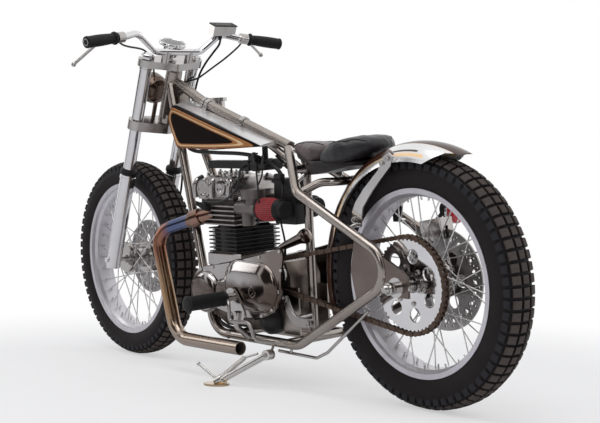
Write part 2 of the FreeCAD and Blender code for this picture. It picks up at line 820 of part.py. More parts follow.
# Stays of the fender: a curved flat bar a side with a stud to the rail, and the posts under the saddle's
# pan.
staySizes = {
    "stay_radius": 6,
    "stay_thickness": 4.5,
}
setSizes(staySizes)
stayShares = (
    (0.1446, 0.5179), (0.1468, 0.5611), (0.136, 0.5895), (0.1115, 0.6284), (0.0691, 0.6821),
    (0.0532, 0.72), (0.0374, 0.7326), (0.0273, 0.7221), (0.0331, 0.6958), (0.0856, 0.6263),
    (0.1165, 0.5737), (0.1237, 0.5179),
)
studShares = (
    (0.1345, 0.65, 0.5263), (0.1345, 0.9417, 0.5168),
)
saddlePostShares = (
    (0.2906, 0.4833, 0.6737), (0.3022, 0.7667, 0.6421),
)


def buildStays():
    inner = z.fender_half_width + z.fit_gap
    corners = [vec(a * z.wheelbase, inner, b * z.frame_height) for a, b in stayShares]
    start, end = bikeRoute(studShares)
    stay = fused(profilePrism(corners, vec(0, z.stay_thickness, 0)), rod(start, end, z.stay_radius))
    start, end = bikeRoute(saddlePostShares)
    post = rod(start, end, z.stay_radius)
    shapes = []
    for shape in bothSides(stay) + bothSides(post):
        shapes.append(shape.cut(loops).cut(fender).cut(ownShapes["saddle"]).cut(seatPan))
    shapes.append(seatPan)
    place(solidPiece("fender_stays", Part.Compound(shapes)), lean)


buildStays()

# Fuel and air: two carburettors with a domed chamber above and a bowl below, and two pod filters.
intakeSizes = {
    "carb_front": 718,
    "carb_length": 106,
    "carb_radius": 24,
    "carb_height": 527,
    "carb_spacing": 130,
    "dome_radius": 37,
    "dome_x": 651,
    "dome_top": 585,
    "dome_depth": 28,
    "bowl_radius": 20,
    "bowl_x": 678,
    "bowl_depth": 52,
    "filter_radius": 35,
    "filter_length": 86,
    "filter_cap_radius": 27,
    "filter_cap_length": 26,
}
setSizes(intakeSizes)


def buildIntake():
    carbs, filters = [], []
    for side in (-1, 1):
        y = side * z.carb_spacing / 2
        centre = vec(z.carb_front, y, z.carb_height)
        back = centre - vec(z.carb_length, 0, 0)
        bowl = rod(vec(z.bowl_x, y, z.carb_height - z.bowl_depth), vec(z.bowl_x, y, z.carb_height),
            z.bowl_radius)
        neck = rod(vec(z.dome_x, y, z.carb_height), vec(z.dome_x, y, z.dome_top), z.carb_radius)
        dome = rod(vec(z.dome_x, y, z.dome_top - z.dome_depth), vec(z.dome_x, y, z.dome_top), z.dome_radius)
        carbs.append(fused(rod(centre, back, z.carb_radius), bowl, neck, dome))
        rear = back - vec(z.filter_length, 0, 0)
        filters.append(fused(rod(back, rear, z.filter_radius),
            rod(rear, rear - vec(z.filter_cap_length, 0, 0), z.filter_cap_radius)))
    head = ownShapes["cylinder_head"]
    place(solidPiece("carburettors", Part.Compound(carbs).cut(head)), lean)
    place(solidPiece("air_filters", Part.Compound(filters)), lean)


buildIntake()

# Exhaust: one pipe a side, open at its end.
exhaustSizes = {
    "pipe_radius": 21,
    "pipe_wall": 2,
    "pipe_bend_head": 60,
    "pipe_bend_front": 62,
    "pipe_bend_foot": 75,
    "collar_radius": 27,
    "collar_length": 16,
}
setSizes(exhaustSizes)
pipeShares = (
    (0.605, 0.55, 0.5316), (0.6511, 0.7667, 0.5179), (0.7504, 1.25, 0.4716), (0.6928, 1.25, 0.1242),
    (0.4604, 1.25, 0.1242),
)


def buildExhaust():
    wire = bentWire(bikeRoute(pipeShares), [z.pipe_bend_head, z.pipe_bend_front, z.pipe_bend_foot])
    points = bikeRoute(pipeShares)
    along = (points[2] - points[1]).normalize()
    collar = rod(points[1] - along * z.collar_length, points[1] + along * z.collar_length, z.collar_radius)
    pipe = fused(sweep(wire, z.pipe_radius), collar).cut(sweep(wire, z.pipe_radius - z.pipe_wall))
    head = ownShapes["cylinder_head"]
    pipe = max(pipe.cut(head).Solids, key=lambda part: part.Volume)
    place(solidPiece("exhaust_pipes", Part.Compound(bothSides(pipe))), lean)


buildExhaust()

# Electrics: one black box behind the engine, and the coils on a long bracket that hangs under the tank.
electricsSizes = {
    "box_front": 600,
    "box_length": 92,
    "box_half_width": 24,
    "box_bottom": 480,
    "box_height": 135,
    "bracket_radius": 8,
    "coil_bracket_front": 925,
    "coil_bracket_rear": 640,
    "coil_bracket_half_width": 19,
    "coil_bracket_bottom": 642,
    "coil_bracket_height": 24,
    "coil_radius": 17,
    "coil_half_length": 52,
    "coil_x": 698,
    "coil_spacing": 38,
    "coil_hanger_x": 664,
    "coil_hanger_radius": 9,
}
setSizes(electricsSizes)


def buildElectrics():
    rear, middle = z.box_front - z.box_length, z.box_bottom + z.box_height / 2
    box = block(vec(rear, -z.box_half_width, z.box_bottom),
        vec(z.box_front, z.box_half_width, z.box_bottom + z.box_height))
    arm = rod(vec(bikeRoute(postShares)[0].x, 0, middle), vec(rear, 0, middle), z.bracket_radius)
    low, high = z.coil_bracket_bottom, z.coil_bracket_bottom + z.coil_bracket_height
    middle = (low + high) / 2
    coils = [block(vec(z.coil_bracket_rear, -z.coil_bracket_half_width, low), vec(
        z.coil_bracket_front, z.coil_bracket_half_width, high))]
    for x in (z.coil_x, z.coil_x - z.coil_spacing):
        coils.append(rod(vec(x, -z.coil_half_length, middle), vec(x, z.coil_half_length, middle),
            z.coil_radius))
    coils.append(rod(vec(z.coil_hanger_x, 0, middle), vec(z.coil_hanger_x, 0, bikeRoute(braceShares)[1].z),
        z.coil_hanger_radius))
    hung = fused(*coils).cut(ownShapes["fuel_tank"]).cut(spine)
    hung = max(hung.Solids, key=lambda part: part.Volume)
    place(solidPiece("electrics_box", Part.Compound([fused(box, arm.cut(spine)), hung])), lean)


buildElectrics()

# Foot controls.
footSizes = {
    "peg_radius": 20,
    "peg_start": 187,
    "peg_end": 315,
    "peg_x": 661,
    "peg_z": 271,
    "peg_stub_radius": 12,
    "peg_plate_start": 152,
    "peg_plate_thickness": 8,
    "peg_plate_radius": 28,
    "peg_plate_foot_x": 625,
    "peg_plate_foot_z": 225,
    "peg_plate_foot_radius": 24,
    "hanger_radius": 9,
    "hanger_bend": 25,
    "lever_radius": 6,
    "lever_bend": 18,
    "tight_bend": 12,
    "brake_rod_radius": 4.5,
    "crank_start": 88,
    "crank_thickness": 5,
    "crank_eye_radius": 9,
}
setSizes(footSizes)
hangerShares = (
    (0.4561, 1, 0.1558), (0.4604, 1.3583, 0.1968), (0.4532, 1.3583, 0.2421),
)
gearShares = (
    (0.4712, 1.4833, 0.2853), (0.4475, 1.6667, 0.2758), (0.446, 1.6667, 0.2179), (0.3806, 1.6667, 0.2242),
    (0.3633, 1.6667, 0.1705), (0.3453, 1.25, 0.1579),
)
pedalShares = (
    (0.4029, -1.0333, 0.16), (0.4317, -1.4583, 0.1842), (0.5468, -1.5417, 0.2105), (0.5468, -2, 0.2126),
)
brakeRodShares = (
    (0.1, 0.7667, 0.2811), (0.2273, 0.7667, 0.1389), (0.2612, 0.7667, 0.1168), (0.382, 0.7667, 0.12),
)
crankShares = (
    (0.3518, 0.2853), (0.2784, 0.22), (0.3266, 0.2263),
)


def buildFootControls():
    shapes = []
    for side in (-1, 1):
        def across(start, end, radius):
            return rod(vec(z.peg_x, side * start, z.peg_z), vec(z.peg_x, side * end, z.peg_z), radius)

        arm = bentTube(bikeRoute([(a, side * b, c) for a, b, c in hangerShares]), [z.hanger_bend],
            z.hanger_radius)
        outside = z.peg_plate_start + z.peg_plate_thickness
        plate = hullPlate([(z.peg_plate_foot_x, z.peg_plate_foot_z, z.peg_plate_foot_radius),
            (z.peg_x, z.peg_z, z.peg_plate_radius)],
                          z.peg_plate_start if side > 0 else -outside, z.peg_plate_thickness, "XZ")
        stub = across(z.peg_plate_start, z.peg_start, z.peg_stub_radius)
        shapes.append(fused(plate, arm, stub, across(z.peg_start, z.peg_end, z.peg_radius)).cut(loops))
    place(solidPiece("foot_pegs", Part.Compound(shapes)), lean)

    gear = bentTube(bikeRoute(gearShares), [z.tight_bend] + [z.lever_bend] * 3, z.lever_radius)
    eyes = [vec(a * z.wheelbase, z.crank_start, b * z.frame_height) for a, b in crankShares]
    crank = hullPlate([(eye.x, eye.z, z.crank_eye_radius) for eye in (eyes[0], eyes[1], eyes[2])],
        z.crank_start, z.crank_thickness, "XZ")
    pivot = rod(vec(bikeRoute(postShares)[0].x, 0, eyes[2].z), eyes[2], z.lever_radius).cut(spine)
    place(solidPiece("gear_linkage",
        Part.Compound([gear.cut(loops).cut(ownShapes["foot_pegs"]), fused(crank, pivot)])), lean)

    pedal = bentTube(bikeRoute(pedalShares), [z.lever_bend] * 2, z.lever_radius)
    brakeRoute = bikeRoute(brakeRodShares)
    brakeRod = bentTube(brakeRoute, [z.lever_bend] * 2, z.brake_rod_radius)
    rear = brakeRoute[0]
    cross = bikeRoute(postShares)[1]
    studs = [rod(rear, vec(rear.x, z.loop_half_width, rear.z + z.lever_bend), z.brake_rod_radius),
             rod(vec(cross.x, rear.y, brakeRoute[3].z), vec(cross.x, rear.y, cross.z), z.brake_rod_radius)]
    linkage = fused(brakeRod, *studs).cut(loops).cut(ownShapes["axle_plates"])
    place(solidPiece("brake_pedal", Part.Compound([pedal.cut(loops),
        max(linkage.Solids, key=lambda part: part.Volume)])), lean)


buildFootControls()

# Rear brake caliper over the disc, and its bracket to the right axle plate.
caliperSizes = {
    "rear_disc_radius": 140,
    "rear_disc_inner": 88,
    "disc_thickness": 5,
    "rear_disc_plane": -62,
    "caliper_length": 80,
    "caliper_height": 58,
    "caliper_outer_width": 26,
    "caliper_inner_width": 19,
    "caliper_gap": 3,
    "caliper_bite": 32,
    "rear_caliper_degrees": 80,
    "caliper_arm_x": 107,
    "caliper_arm_z": 378,
}
setSizes(caliperSizes)


def caliper(radius, direction, plane, reach):
    # A block over the disc's rim, slotted for the disc, in the frame of its wheel.
    outward = vec(math.cos(direction), 0, math.sin(direction))
    low = radius - z.caliper_bite
    length = z.caliper_length
    body = block(vec(low, plane - z.caliper_outer_width, -length / 2), vec(
        low + z.caliper_height, plane + z.caliper_inner_width, length / 2))
    slot = block(vec(low - reach, plane - z.disc_thickness / 2 - z.caliper_gap, -length), vec(
        radius + z.caliper_gap, plane + z.disc_thickness / 2 + z.caliper_gap, length))
    shape = body.cut(slot)
    shape.rotate(vec(), vec(0, 1, 0), -math.degrees(direction))
    return shape


def buildRearCaliper():
    shape = caliper(z.rear_disc_radius, math.radians(z.rear_caliper_degrees), z.rear_disc_plane, z.overrun)
    shape.translate(vec(0, 0, z.rear_radius))
    height = z.rear_radius + z.rear_disc_radius - z.caliper_bite / 2
    arm = rod(vec(z.spacer_radius, z.rear_disc_plane - z.caliper_outer_width, height),
              vec(z.caliper_arm_x, -z.loop_half_width + z.plate_thickness / 2,
              z.caliper_arm_z), z.stay_radius)
    arm = arm.cut(ownShapes["axle_plates"]).cut(loops)
    place(solidPiece("rear_caliper", fused(shape, max(arm.Solids, key=lambda part: part.Volume))), lean)


buildRearCaliper()

# Tail lamp on the right.
tailLampSizes = {
    "lamp_radius": 24,
    "lamp_length": 60,
    "lamp_rear": 20,
    "lamp_y": -160,
    "lamp_z": 525,
}
setSizes(tailLampSizes)
lampArmShares = (
    (0.0878, -1, 0.4926), (0.0691, -1.25, 0.5263), (0.0576, -1.3333, 0.5526),
)


def buildTailLamp():
    body = rod(vec(z.lamp_rear, z.lamp_y, z.lamp_z), vec(z.lamp_rear + z.lamp_length, z.lamp_y, z.lamp_z),
        z.lamp_radius)
    points = bikeRoute(lampArmShares)
    place(solidPiece("tail_lamp", fused(body, bentTube(points, [z.lever_bend], z.lever_radius)).cut(loops)),
        lean)


buildTailLamp()

# Fork and clamps, in the steering frame.
forkSizes = {
    "fork_half_spread": 88,
    "fork_tube_radius": 20,
    "slider_radius": 25,
    "slider_top": 657,
    "slider_bottom": 318,
    "tube_top": 1058,
    "top_clamp_z": 1032,
    "top_clamp_thickness": 24,
    "low_clamp_z": 816,
    "low_clamp_thickness": 32,
    "clamp_wall": 9,
    "stem_radius": 15,
    "front_axle_radius": 9,
    "front_axle_end": 120,
    "riser_radius": 13,
    "bar_radius": 11,
    "bar_x": -1.5,
    "bar_z": 1090,
    "bar_half_length": 367,
    "bar_rise": 60,
    "bar_bend": 45,
    "grip_radius": 16,
    "grip_length": 120,
}
setSizes(forkSizes)
barShares = (
    (0.2262, 0), (0.4278, 1), (0.5886, 0.9), (1, 0.75),
)
barSweepShares = (0, 0.0245, -0.0381, -0.1253)


def buildFork():
    tubes, sliders = [], []
    for side in (-1, 1):
        foot = vec(z.fork_offset, side * z.fork_half_spread, 0)
        tubes.append(rod(foot + vec(0, 0, z.slider_top), foot + vec(0, 0, z.tube_top), z.fork_tube_radius))
        sliders.append(rod(foot + vec(0, 0, z.slider_bottom), foot + vec(0, 0, z.slider_top),
            z.slider_radius))
    axle = rod(vec(z.fork_offset, -z.front_axle_end, frontAxleUp),
        vec(z.fork_offset, z.front_axle_end, frontAxleUp), z.front_axle_radius)
    place(solidPiece("fork_tubes", Part.Compound(tubes)), steered)
    place(solidPiece("fork_sliders", fused(*sliders, axle)), steered)

    clamps = []
    for start, thickness in ((z.top_clamp_z, z.top_clamp_thickness),
        (z.low_clamp_z, z.low_clamp_thickness)):
        leg = z.fork_tube_radius + z.clamp_wall
        plate = hullPlate([(0, 0, z.stem_radius + z.clamp_wall), (z.fork_offset, -z.fork_half_spread, leg),
                           (z.fork_offset, z.fork_half_spread, leg)], start, thickness, "XY")
        for side in (-1, 1):
            foot = vec(z.fork_offset, side * z.fork_half_spread, 0)
            plate = plate.cut(rod(foot, foot + vec(0, 0, z.tube_top + z.overrun), z.fork_tube_radius))
        clamps.append(plate)
    stem = rod(vec(0, 0, z.low_clamp_z), vec(0, 0, z.top_clamp_z + z.top_clamp_thickness), z.stem_radius)
    top = z.top_clamp_z + z.top_clamp_thickness
    risers = [rod(vec(z.bar_x, side * z.fork_half_spread / 2, top - z.fit_gap),
        vec(z.bar_x, side * z.fork_half_spread / 2, z.bar_z), z.riser_radius)
              for side in (-1, 1)]
    left = [vec(z.bar_x + s * z.bar_half_length, a * z.bar_half_length, z.bar_z + b * z.bar_rise)
            for (a, b), s in zip(barShares, barSweepShares)]
    right = [vec(p.x, -p.y, p.z) for p in reversed(left)]
    wire = bentWire(right + left, [z.bar_bend] * 6)
    handlebar = sweep(wire, z.bar_radius)
    place(solidPiece("triple_clamps", fused(*clamps, stem, *risers).cut(handlebar)), steered)
    place(solidPiece("handlebar", handlebar), steered)

    outer = left[3]
    inward = (left[2] - left[3]).normalize()
    grips = [rod(outer, outer + inward * z.grip_length, z.grip_radius).cut(handlebar)]
    grips.append(grips[0].mirror(vec(), vec(0, 1, 0)))
    place(solidPiece("grips", Part.Compound(grips)), steered)
    return left


barPoints = buildFork()

# Levers: a perch clamped to the bar and a drooping blade with a ball end; the right one has the brake's
# cylinder.
leverSizes = {
    "perch_radius": 17,
    "perch_start": 5,
    "perch_length": 26,
    "blade_radius": 5,
    "blade_bend": 30,
    "ball_radius": 8,
    "cylinder_inner_y": -116,
    "cylinder_outer_y": -202,
    "cylinder_rear_x": -13,
    "cylinder_front_x": 17,
    "cylinder_bottom": 1150,
    "cylinder_top": 1184,
}
setSizes(leverSizes)
leftBladeShares = (
    (0.0545, 0.0327, -0.0327), (0.1144, 0.1526, -0.1035), (0.1635, 0.3079, -0.2943),
)
rightBladeShares = (
    (0.0545, -0.0327, -0.0327), (0.1144, -0.1635, -0.0763), (0.1635, -0.3515, -0.2044),
)


def buildLevers():
    levers = []
    for side, shares in ((1, leftBladeShares), (-1, rightBladeShares)):
        start = vec(barPoints[2].x, side * barPoints[2].y, barPoints[2].z)
        end = vec(barPoints[3].x, side * barPoints[3].y, barPoints[3].z)
        along = (end - start).normalize()
        perchStart = start + along * z.perch_start
        perch = rod(perchStart, perchStart + along * z.perch_length, z.perch_radius)
        centre = perchStart + along * (z.perch_length / 2)
        blade = [centre] + [centre + vec(*share) * z.bar_half_length for share in shares]
        levers.append([perch, bentTube(blade, [z.blade_bend] * 2, z.blade_radius),
            Part.makeSphere(z.ball_radius, blade[3])])
    levers[1].append(block(vec(z.cylinder_rear_x, z.cylinder_outer_y, z.cylinder_bottom), vec(
        z.cylinder_front_x, z.cylinder_inner_y, z.cylinder_top)))
    bar = ownShapes["handlebar"]
    shapes = [fused(*lever).cut(bar) for lever in levers]
    place(solidPiece("levers", Part.Compound(shapes)), steered)


buildLevers()

# Headlamp and gauge.
frontSizes = {
    "headlamp_radius": 50,
    "headlamp_depth": 64,
    "lamp_foot_setback": 16,
    "headlamp_x": 62,
    "headlamp_z": 929,
    "lamp_arm_radius": 7,
    "gauge_radius": 45,
    "gauge_depth": 26,
    "gauge_x": 41,
    "gauge_z": 1116,
    "gauge_stem_x": 52,
    "gauge_stem_radius": 9,
}
setSizes(frontSizes)
# The lamp's profile from the back: along its depth and out to its radius.
shellShares = ((0, 0), (0, 0.5), (0.16, 0.78), (0.45, 0.95), (0.8, 1), (1, 1), (1.1, 0))


def buildFront():
    shell = lathe([(a * z.headlamp_depth, b * z.headlamp_radius) for a, b in shellShares],
                  vec(z.headlamp_x, 0, z.headlamp_z), vec(1, 0, 0))
    footX = z.headlamp_x + z.lamp_foot_setback
    armHeight = z.low_clamp_z + z.low_clamp_thickness / 2
    foot = rod(vec(footX, 0, armHeight), vec(footX, 0, z.headlamp_z), z.lamp_arm_radius)
    across = rod(vec(z.fork_offset, 0, armHeight), vec(footX, 0, armHeight), z.lamp_arm_radius)
    clamps = ownShapes["triple_clamps"]
    place(solidPiece("headlamp", fused(shell, foot, across).cut(clamps)), steered)
    base = vec(z.gauge_x, 0, z.gauge_z - z.gauge_depth / 2)
    case = rod(base, base + vec(0, 0, z.gauge_depth), z.gauge_radius)
    stem = rod(vec(z.gauge_stem_x, 0, z.top_clamp_z + z.top_clamp_thickness),
        vec(z.gauge_stem_x, 0, base.z), z.gauge_stem_radius)
    place(solidPiece("gauge", fused(case, stem).cut(clamps)), steered)


buildFront()

# Cords that are held all along: the front brake's hose, and the two cables from the bar to the lamp. Each
# is a line of
# short straight runs joined by arcs.
cordSizes = {
    "hose_radius": 3.5,
    "cable_radius": 3,
    "cord_bend_share": 0.45,
}
setSizes(cordSizes)
hoseShares = (
    (0.0054, -0.4087, 1.056), (-0.0163, -0.3706, 1.0092), (-0.0109, -0.3488, 0.9495),
    (0.0054, -0.3406, 0.8807), (0.0136, -0.3379, 0.8073), (0.0109, -0.3351, 0.7339),
    (-0.0054, -0.327, 0.6651), (-0.0381, -0.3052, 0.6009), (-0.0736, -0.267, 0.5413),
    (-0.0981, -0.2234, 0.4862), (-0.1117, -0.1798, 0.4349),
)
leftCableShares = (
    (-0.0545, 0.6322, 1.033), (-0.0109, 0.5613, 1.0202), (0.0381, 0.4632, 1.0101),
    (0.0872, 0.3597, 1.0018), (0.1362, 0.267, 0.9917), (0.1744, 0.1853, 0.9752), (0.2016, 0.1199, 0.9505),
    (0.218, 0.0763, 0.9211), (0.2289, 0.049, 0.8954),
)
rightCableShares = (
    (-0.0545, -0.6322, 1.033), (-0.0163, -0.5613, 1.0165), (0.0327, -0.4632, 1.0055),
    (0.0872, -0.3597, 0.9982), (0.1417, -0.267, 0.9881), (0.1853, -0.1853, 0.9716),
    (0.2125, -0.1199, 0.9477), (0.2262, -0.0763, 0.9202), (0.2343, -0.049, 0.8963),
)


def cord(shares, radius):
    points = route(shares, z.bar_half_length, z.bar_half_length, z.bar_z)
    bends = []
    for before, corner, after in zip(points, points[1:], points[2:]):
        back, ahead = corner - before, after - corner
        halfTurn = back.getAngle(ahead) / 2
        bends.append(z.cord_bend_share * min(back.Length, ahead.Length) / math.tan(halfTurn))
    print("bend radii", [round(bend, 1) for bend in bends])
    return bentTube(points, bends, radius)


def buildCords():
    hose = cord(hoseShares, z.hose_radius)
    for other in ("levers", "handlebar", "front_caliper"):
        hose = hose.cut(ownShapes[other])
    place(solidPiece("brake_hose", max(hose.Solids, key=lambda part: part.Volume)), steered)
    for label, shares in (("clutch_cable", leftCableShares), ("throttle_cable", rightCableShares)):
        cable = cord(shares, z.cable_radius)
        for other in ("levers", "handlebar", "grips", "headlamp", "gauge"):
            cable = cable.cut(ownShapes[other])
        place(solidPiece(label, max(cable.Solids, key=lambda part: part.Volume)), steered)


# Wheels: tyre, rim, hub, spokes and disc, each turned about the axle.
wheelPartSizes = {
    "rear_flange": 40,
    "front_flange": 34,
    "flange_radius": 54,
    "spoke_dish": 1.7,
    "spoke_lag": 62,
    "flange_thickness": 5,
    "hub_radius": 30,
    "axle_gap": 0.5,
    "carrier_radius": 46,
    "front_disc_radius": 125,
    "front_disc_inner": 80,
    "front_disc_plane": -56,
    "front_caliper_degrees": 128,
    "front_hub_left": 50,
    "front_hub_right": 60,
    "disc_hole_radius": 5,
    "disc_hole_count": 24,
    "sprocket_hole_radius": 20,
    "sprocket_hole_circle": 80,
    "sprocket_hole_count": 7,
    "sprocket_teeth": 52,
    "tooth_gap_radius": 4.6,
}
setSizes(wheelPartSizes)
tyreShares = (
    (-0.1102, 0.7593), (0.0068, 0.7778), (0.0682, 0.8704), (0.3409, 1), (0.5909, 0.9815), (0.8182, 0.8519),
    (0.9545, 0.5556), (1, 0.2222),
)

# Half-widths of the rim's well and of its bead seat, inside and outside, as shares of the rim's half-width.
rimShares = (0.48, 0.66, 0.52, 0.7)


def buildTyre(label, radius, width, rimWidth, placement):
    body = newBody(label)
    tread = f"({radius} - rim_radius)"
    half = f"{width} / 2"
    bead = f"({rimWidth} / 2 - flange_lip - fit_gap)"
    leftSide = []
    for i, (up, out) in enumerate(tyreShares):
        across = bead if i < 2 else f"{out} * {half}"
        leftSide.append((f"rim_radius + {up} * {tread}", across))
    rightSide = [(up, "-(" + out + ")") for up, out in reversed(leftSide)]
    revolve(body, [leftSide + rightSide])
    place(body, placement)


def buildRim(label, rimWidth, placement):
    body = newBody(label)
    half = f"{rimWidth} / 2"
    seat = "(rim_radius - bead_depth)"
    well, shoulder, wellOut, shoulderOut = rimShares
    outer = [("rim_radius", half), ("rim_radius", f"{half} - flange_lip"), (seat, f"{half} - flange_lip"),
             (seat, f"{half} * {shoulder}"), ("rim_radius - rim_depth + rim_wall", f"{half} * {well}")]
    inner = [(f"{seat} - rim_wall", half), (f"{seat} - rim_wall", f"{half} * {shoulderOut}"),
        ("rim_radius - rim_depth", f"{half} * {wellOut}")]
    flipped = [(up, "-(" + out + ")") for up, out in reversed(outer)]
    flippedInner = [(up, "-(" + out + ")") for up, out in inner]
    revolve(body, [outer + flipped + flippedInner + list(reversed(inner))])
    place(body, placement)


def buildSpokes(label, flange, placement):
    # Half of the spokes lie outside their flange and half inside, so that they cross without touching.
    count = int(z.spoke_count)
    shapes = []
    for i in range(count):
        side = 1 if i % 2 == 0 else -1
        outerSpoke = (i // 2) % 2 == 0
        lie = z.flange_thickness / 2 + z.spoke_radius + z.fit_gap
        y = side * (flange + (lie + z.spoke_dish if outerSpoke else -lie))
        rimAngle = 2 * math.pi * (i + 0.5) / count
        lag = math.radians(z.spoke_lag) * (1 if outerSpoke else -1)
        hubAngle = rimAngle + lag
        seat = z.flange_radius - z.spoke_radius
        hubPoint = vec(seat * math.cos(hubAngle), y, seat * math.sin(hubAngle))
        inside = z.rim_radius - z.rim_depth - z.fit_gap - z.nipple_inset
        rimPoint = vec(inside * math.cos(rimAngle), side * z.nipple_offset, inside * math.sin(rimAngle))
        shapes.append(rod(hubPoint, rimPoint, z.spoke_radius))
    place(solidPiece(label, Part.Compound(shapes)), placement)


def buildHub(label, left, right, flange, axle, placement, sprocketFace, discFace):
    body = newBody(label)
    bore = f"{axle} + axle_gap"
    half = "flange_thickness / 2"
    corners = [
        (bore, left), ("spacer_radius", left), ("spacer_radius", sprocketFace), ("carrier_radius",
        sprocketFace),
        ("carrier_radius", f"{sprocketFace} - flange_thickness * 1.5"), ("hub_radius",
        f"{sprocketFace} - flange_thickness * 1.5"),
        ("hub_radius", f"{flange} + {half}"), ("flange_radius", f"{flange} + {half}"), ("flange_radius",
        f"{flange} - {half}"),
        ("hub_radius * 1.2", f"{flange} - {half}"), ("hub_radius", "0"), ("hub_radius * 1.2",
        f"-{flange} + {half}"),
        ("flange_radius", f"-{flange} + {half}"), ("flange_radius", f"-{flange} - {half}"), ("hub_radius",
        f"-{flange} - {half}"),
        ("hub_radius", f"{discFace} + flange_thickness * 1.2"), ("carrier_radius",
        f"{discFace} + flange_thickness * 1.2"),
        ("carrier_radius", discFace), ("spacer_radius", discFace), ("spacer_radius", f"-({right})"), (bore,
        f"-({right})")]
    revolve(body, [corners])
    place(body, placement)


def buildDisc(label, radius, inner, plane, placement):
    body = newBody(label)
    start = f"{plane} - disc_thickness / 2"
    pad(body, "XZ_Plane", start, [("0", "0", radius), ("0", "0", "spacer_radius + fit_gap")],
        "disc_thickness")
    hole = cut(body, "XZ_Plane", f"{start} - overrun",
        [(f"({radius} + {inner}) / 2", "0", "disc_hole_radius")], "2 * overrun")
    polar(body, [hole], "disc_hole_count")
    window = cut(body, "XZ_Plane", f"{start} - overrun", [(f"({inner} + carrier_radius) / 2", "0",
                 f"({inner} - carrier_radius) / 2 - disc_thickness / 2")], "2 * overrun")
    polar(body, [window], "sprocket_hole_count - 1")
    place(body, placement)


def buildSprocket():
    body = newBody("rear_sprocket")
    tip = "chain_pitch_radius - chain_inner - sprocket_clearance"
    start = "chain_plane - sprocket_thickness / 2"
    pad(body, "XZ_Plane", start, [("0", "0", tip), ("0", "0", "spacer_radius + fit_gap")],
        "sprocket_thickness")
    hole = cut(body, "XZ_Plane", f"{start} - overrun",
        [("sprocket_hole_circle", "0", "sprocket_hole_radius")], "2 * overrun")
    polar(body, [hole], "sprocket_hole_count")
    gap = cut(body, "XZ_Plane", f"{start} - overrun", [(tip, "0", "tooth_gap_radius")], "2 * overrun")
    polar(body, [gap], "sprocket_teeth")
    place(body, rearWheel)


def buildWheels():
    buildTyre("rear_tyre", "rear_radius", "rear_tyre_width", "rear_rim_width", rearWheel)
    buildRim("rear_rim", "rear_rim_width", rearWheel)
    buildSpokes("rear_spokes", z.rear_flange, rearWheel)
    buildHub("rear_hub", "hub_left_end", "hub_right_end", "rear_flange", "axle_radius", rearWheel,
             "(chain_plane - sprocket_thickness / 2)", "(rear_disc_plane + disc_thickness / 2)")
    buildDisc("rear_disc", "rear_disc_radius", "rear_disc_inner", "rear_disc_plane", rearWheel)
    buildSprocket()
    buildTyre("front_tyre", "front_radius", "front_tyre_width", "front_rim_width", frontWheel)
    buildRim("front_rim", "front_rim_width", frontWheel)
    buildSpokes("front_spokes", z.front_flange, frontWheel)
    buildHub("front_hub", "front_hub_left", "front_hub_right", "front_flange", "front_axle_radius",
        frontWheel,
             "(front_hub_left - flange_thickness)", "(front_disc_plane + disc_thickness / 2)")
    buildDisc("front_disc", "front_disc_radius", "front_disc_inner", "front_disc_plane", frontWheel)


buildWheels()

# Front caliper behind the right slider.
def buildFrontCaliper():
    shape = caliper(z.front_disc_radius, math.radians(z.front_caliper_degrees), z.front_disc_plane,
        z.overrun)
    shape.translate(vec(z.fork_offset, 0, frontAxleUp))
    sliders = ownShapes["fork_sliders"]
    place(solidPiece("front_caliper", shape.cut(sliders)), steered)


buildFrontCaliper()
buildCords()

# Side stand: a leg out to the left with a round foot flat on the ground.
standSizes = {
    "stand_pivot_x": 520,
    "stand_pivot_y": 146,
    "stand_pivot_z": 111,
    "stand_foot_x": 663,
    "stand_foot_y": 229,
    "stand_leg_radius": 9,
    "stand_foot_radius": 38,
    "stand_foot_thickness": 6,
    "stand_socket_radius": 17,
    "stand_socket_height": 26,
    "stand_eye_radius": 15,
    "stand_eye_width": 18,
    "stand_pin_radius": 6,
    "stand_pin_overhang": 2,
    "stand_tang_radius": 3.5,
    "stand_knob_radius": 6,
    "stand_spring_radius": 7,
}
setSizes(standSizes)
tangShares = (
    (0.4748, 1.8833, 0.0358), (0.5309, 1.9583, 0.0779),
)
springShares = (
    (0.4691, 1.8167, 0.0442), (0.4374, 1.3333, 0.1011), (0.4029, 1.25, 0.1168),
)
foldedShares = (-0.994, 0.105, 0.03)


def groundLevel():
    # The ground's height at the foot, on the line between the lowest points of both tyres.
    low = {piece.Label: piece.Shape.optimalBoundingBox(False,
        False).ZMin for piece in nodes if "tyre" in piece.Label}
    return low["rear_tyre"] + (low["front_tyre"] - low["rear_tyre"]) * z.stand_foot_x / z.wheelbase


def standAxis():
    # Square to the difference of the leg's two directions and as close as that allows to the crosswise
    # direction.
    pivot = vec(z.stand_pivot_x, z.stand_pivot_y, z.stand_pivot_z)
    foot = lean.inverse() * vec(z.stand_foot_x, z.stand_foot_y, groundLevel() + z.stand_foot_thickness)
    down = (foot - pivot).normalize()
    folded = vec(*foldedShares).normalize()
    apart = down - folded
    across = vec(0, 1, 0)
    axis = across - apart * (across.dot(apart) / apart.dot(apart))
    return pivot, foot, axis.normalize()


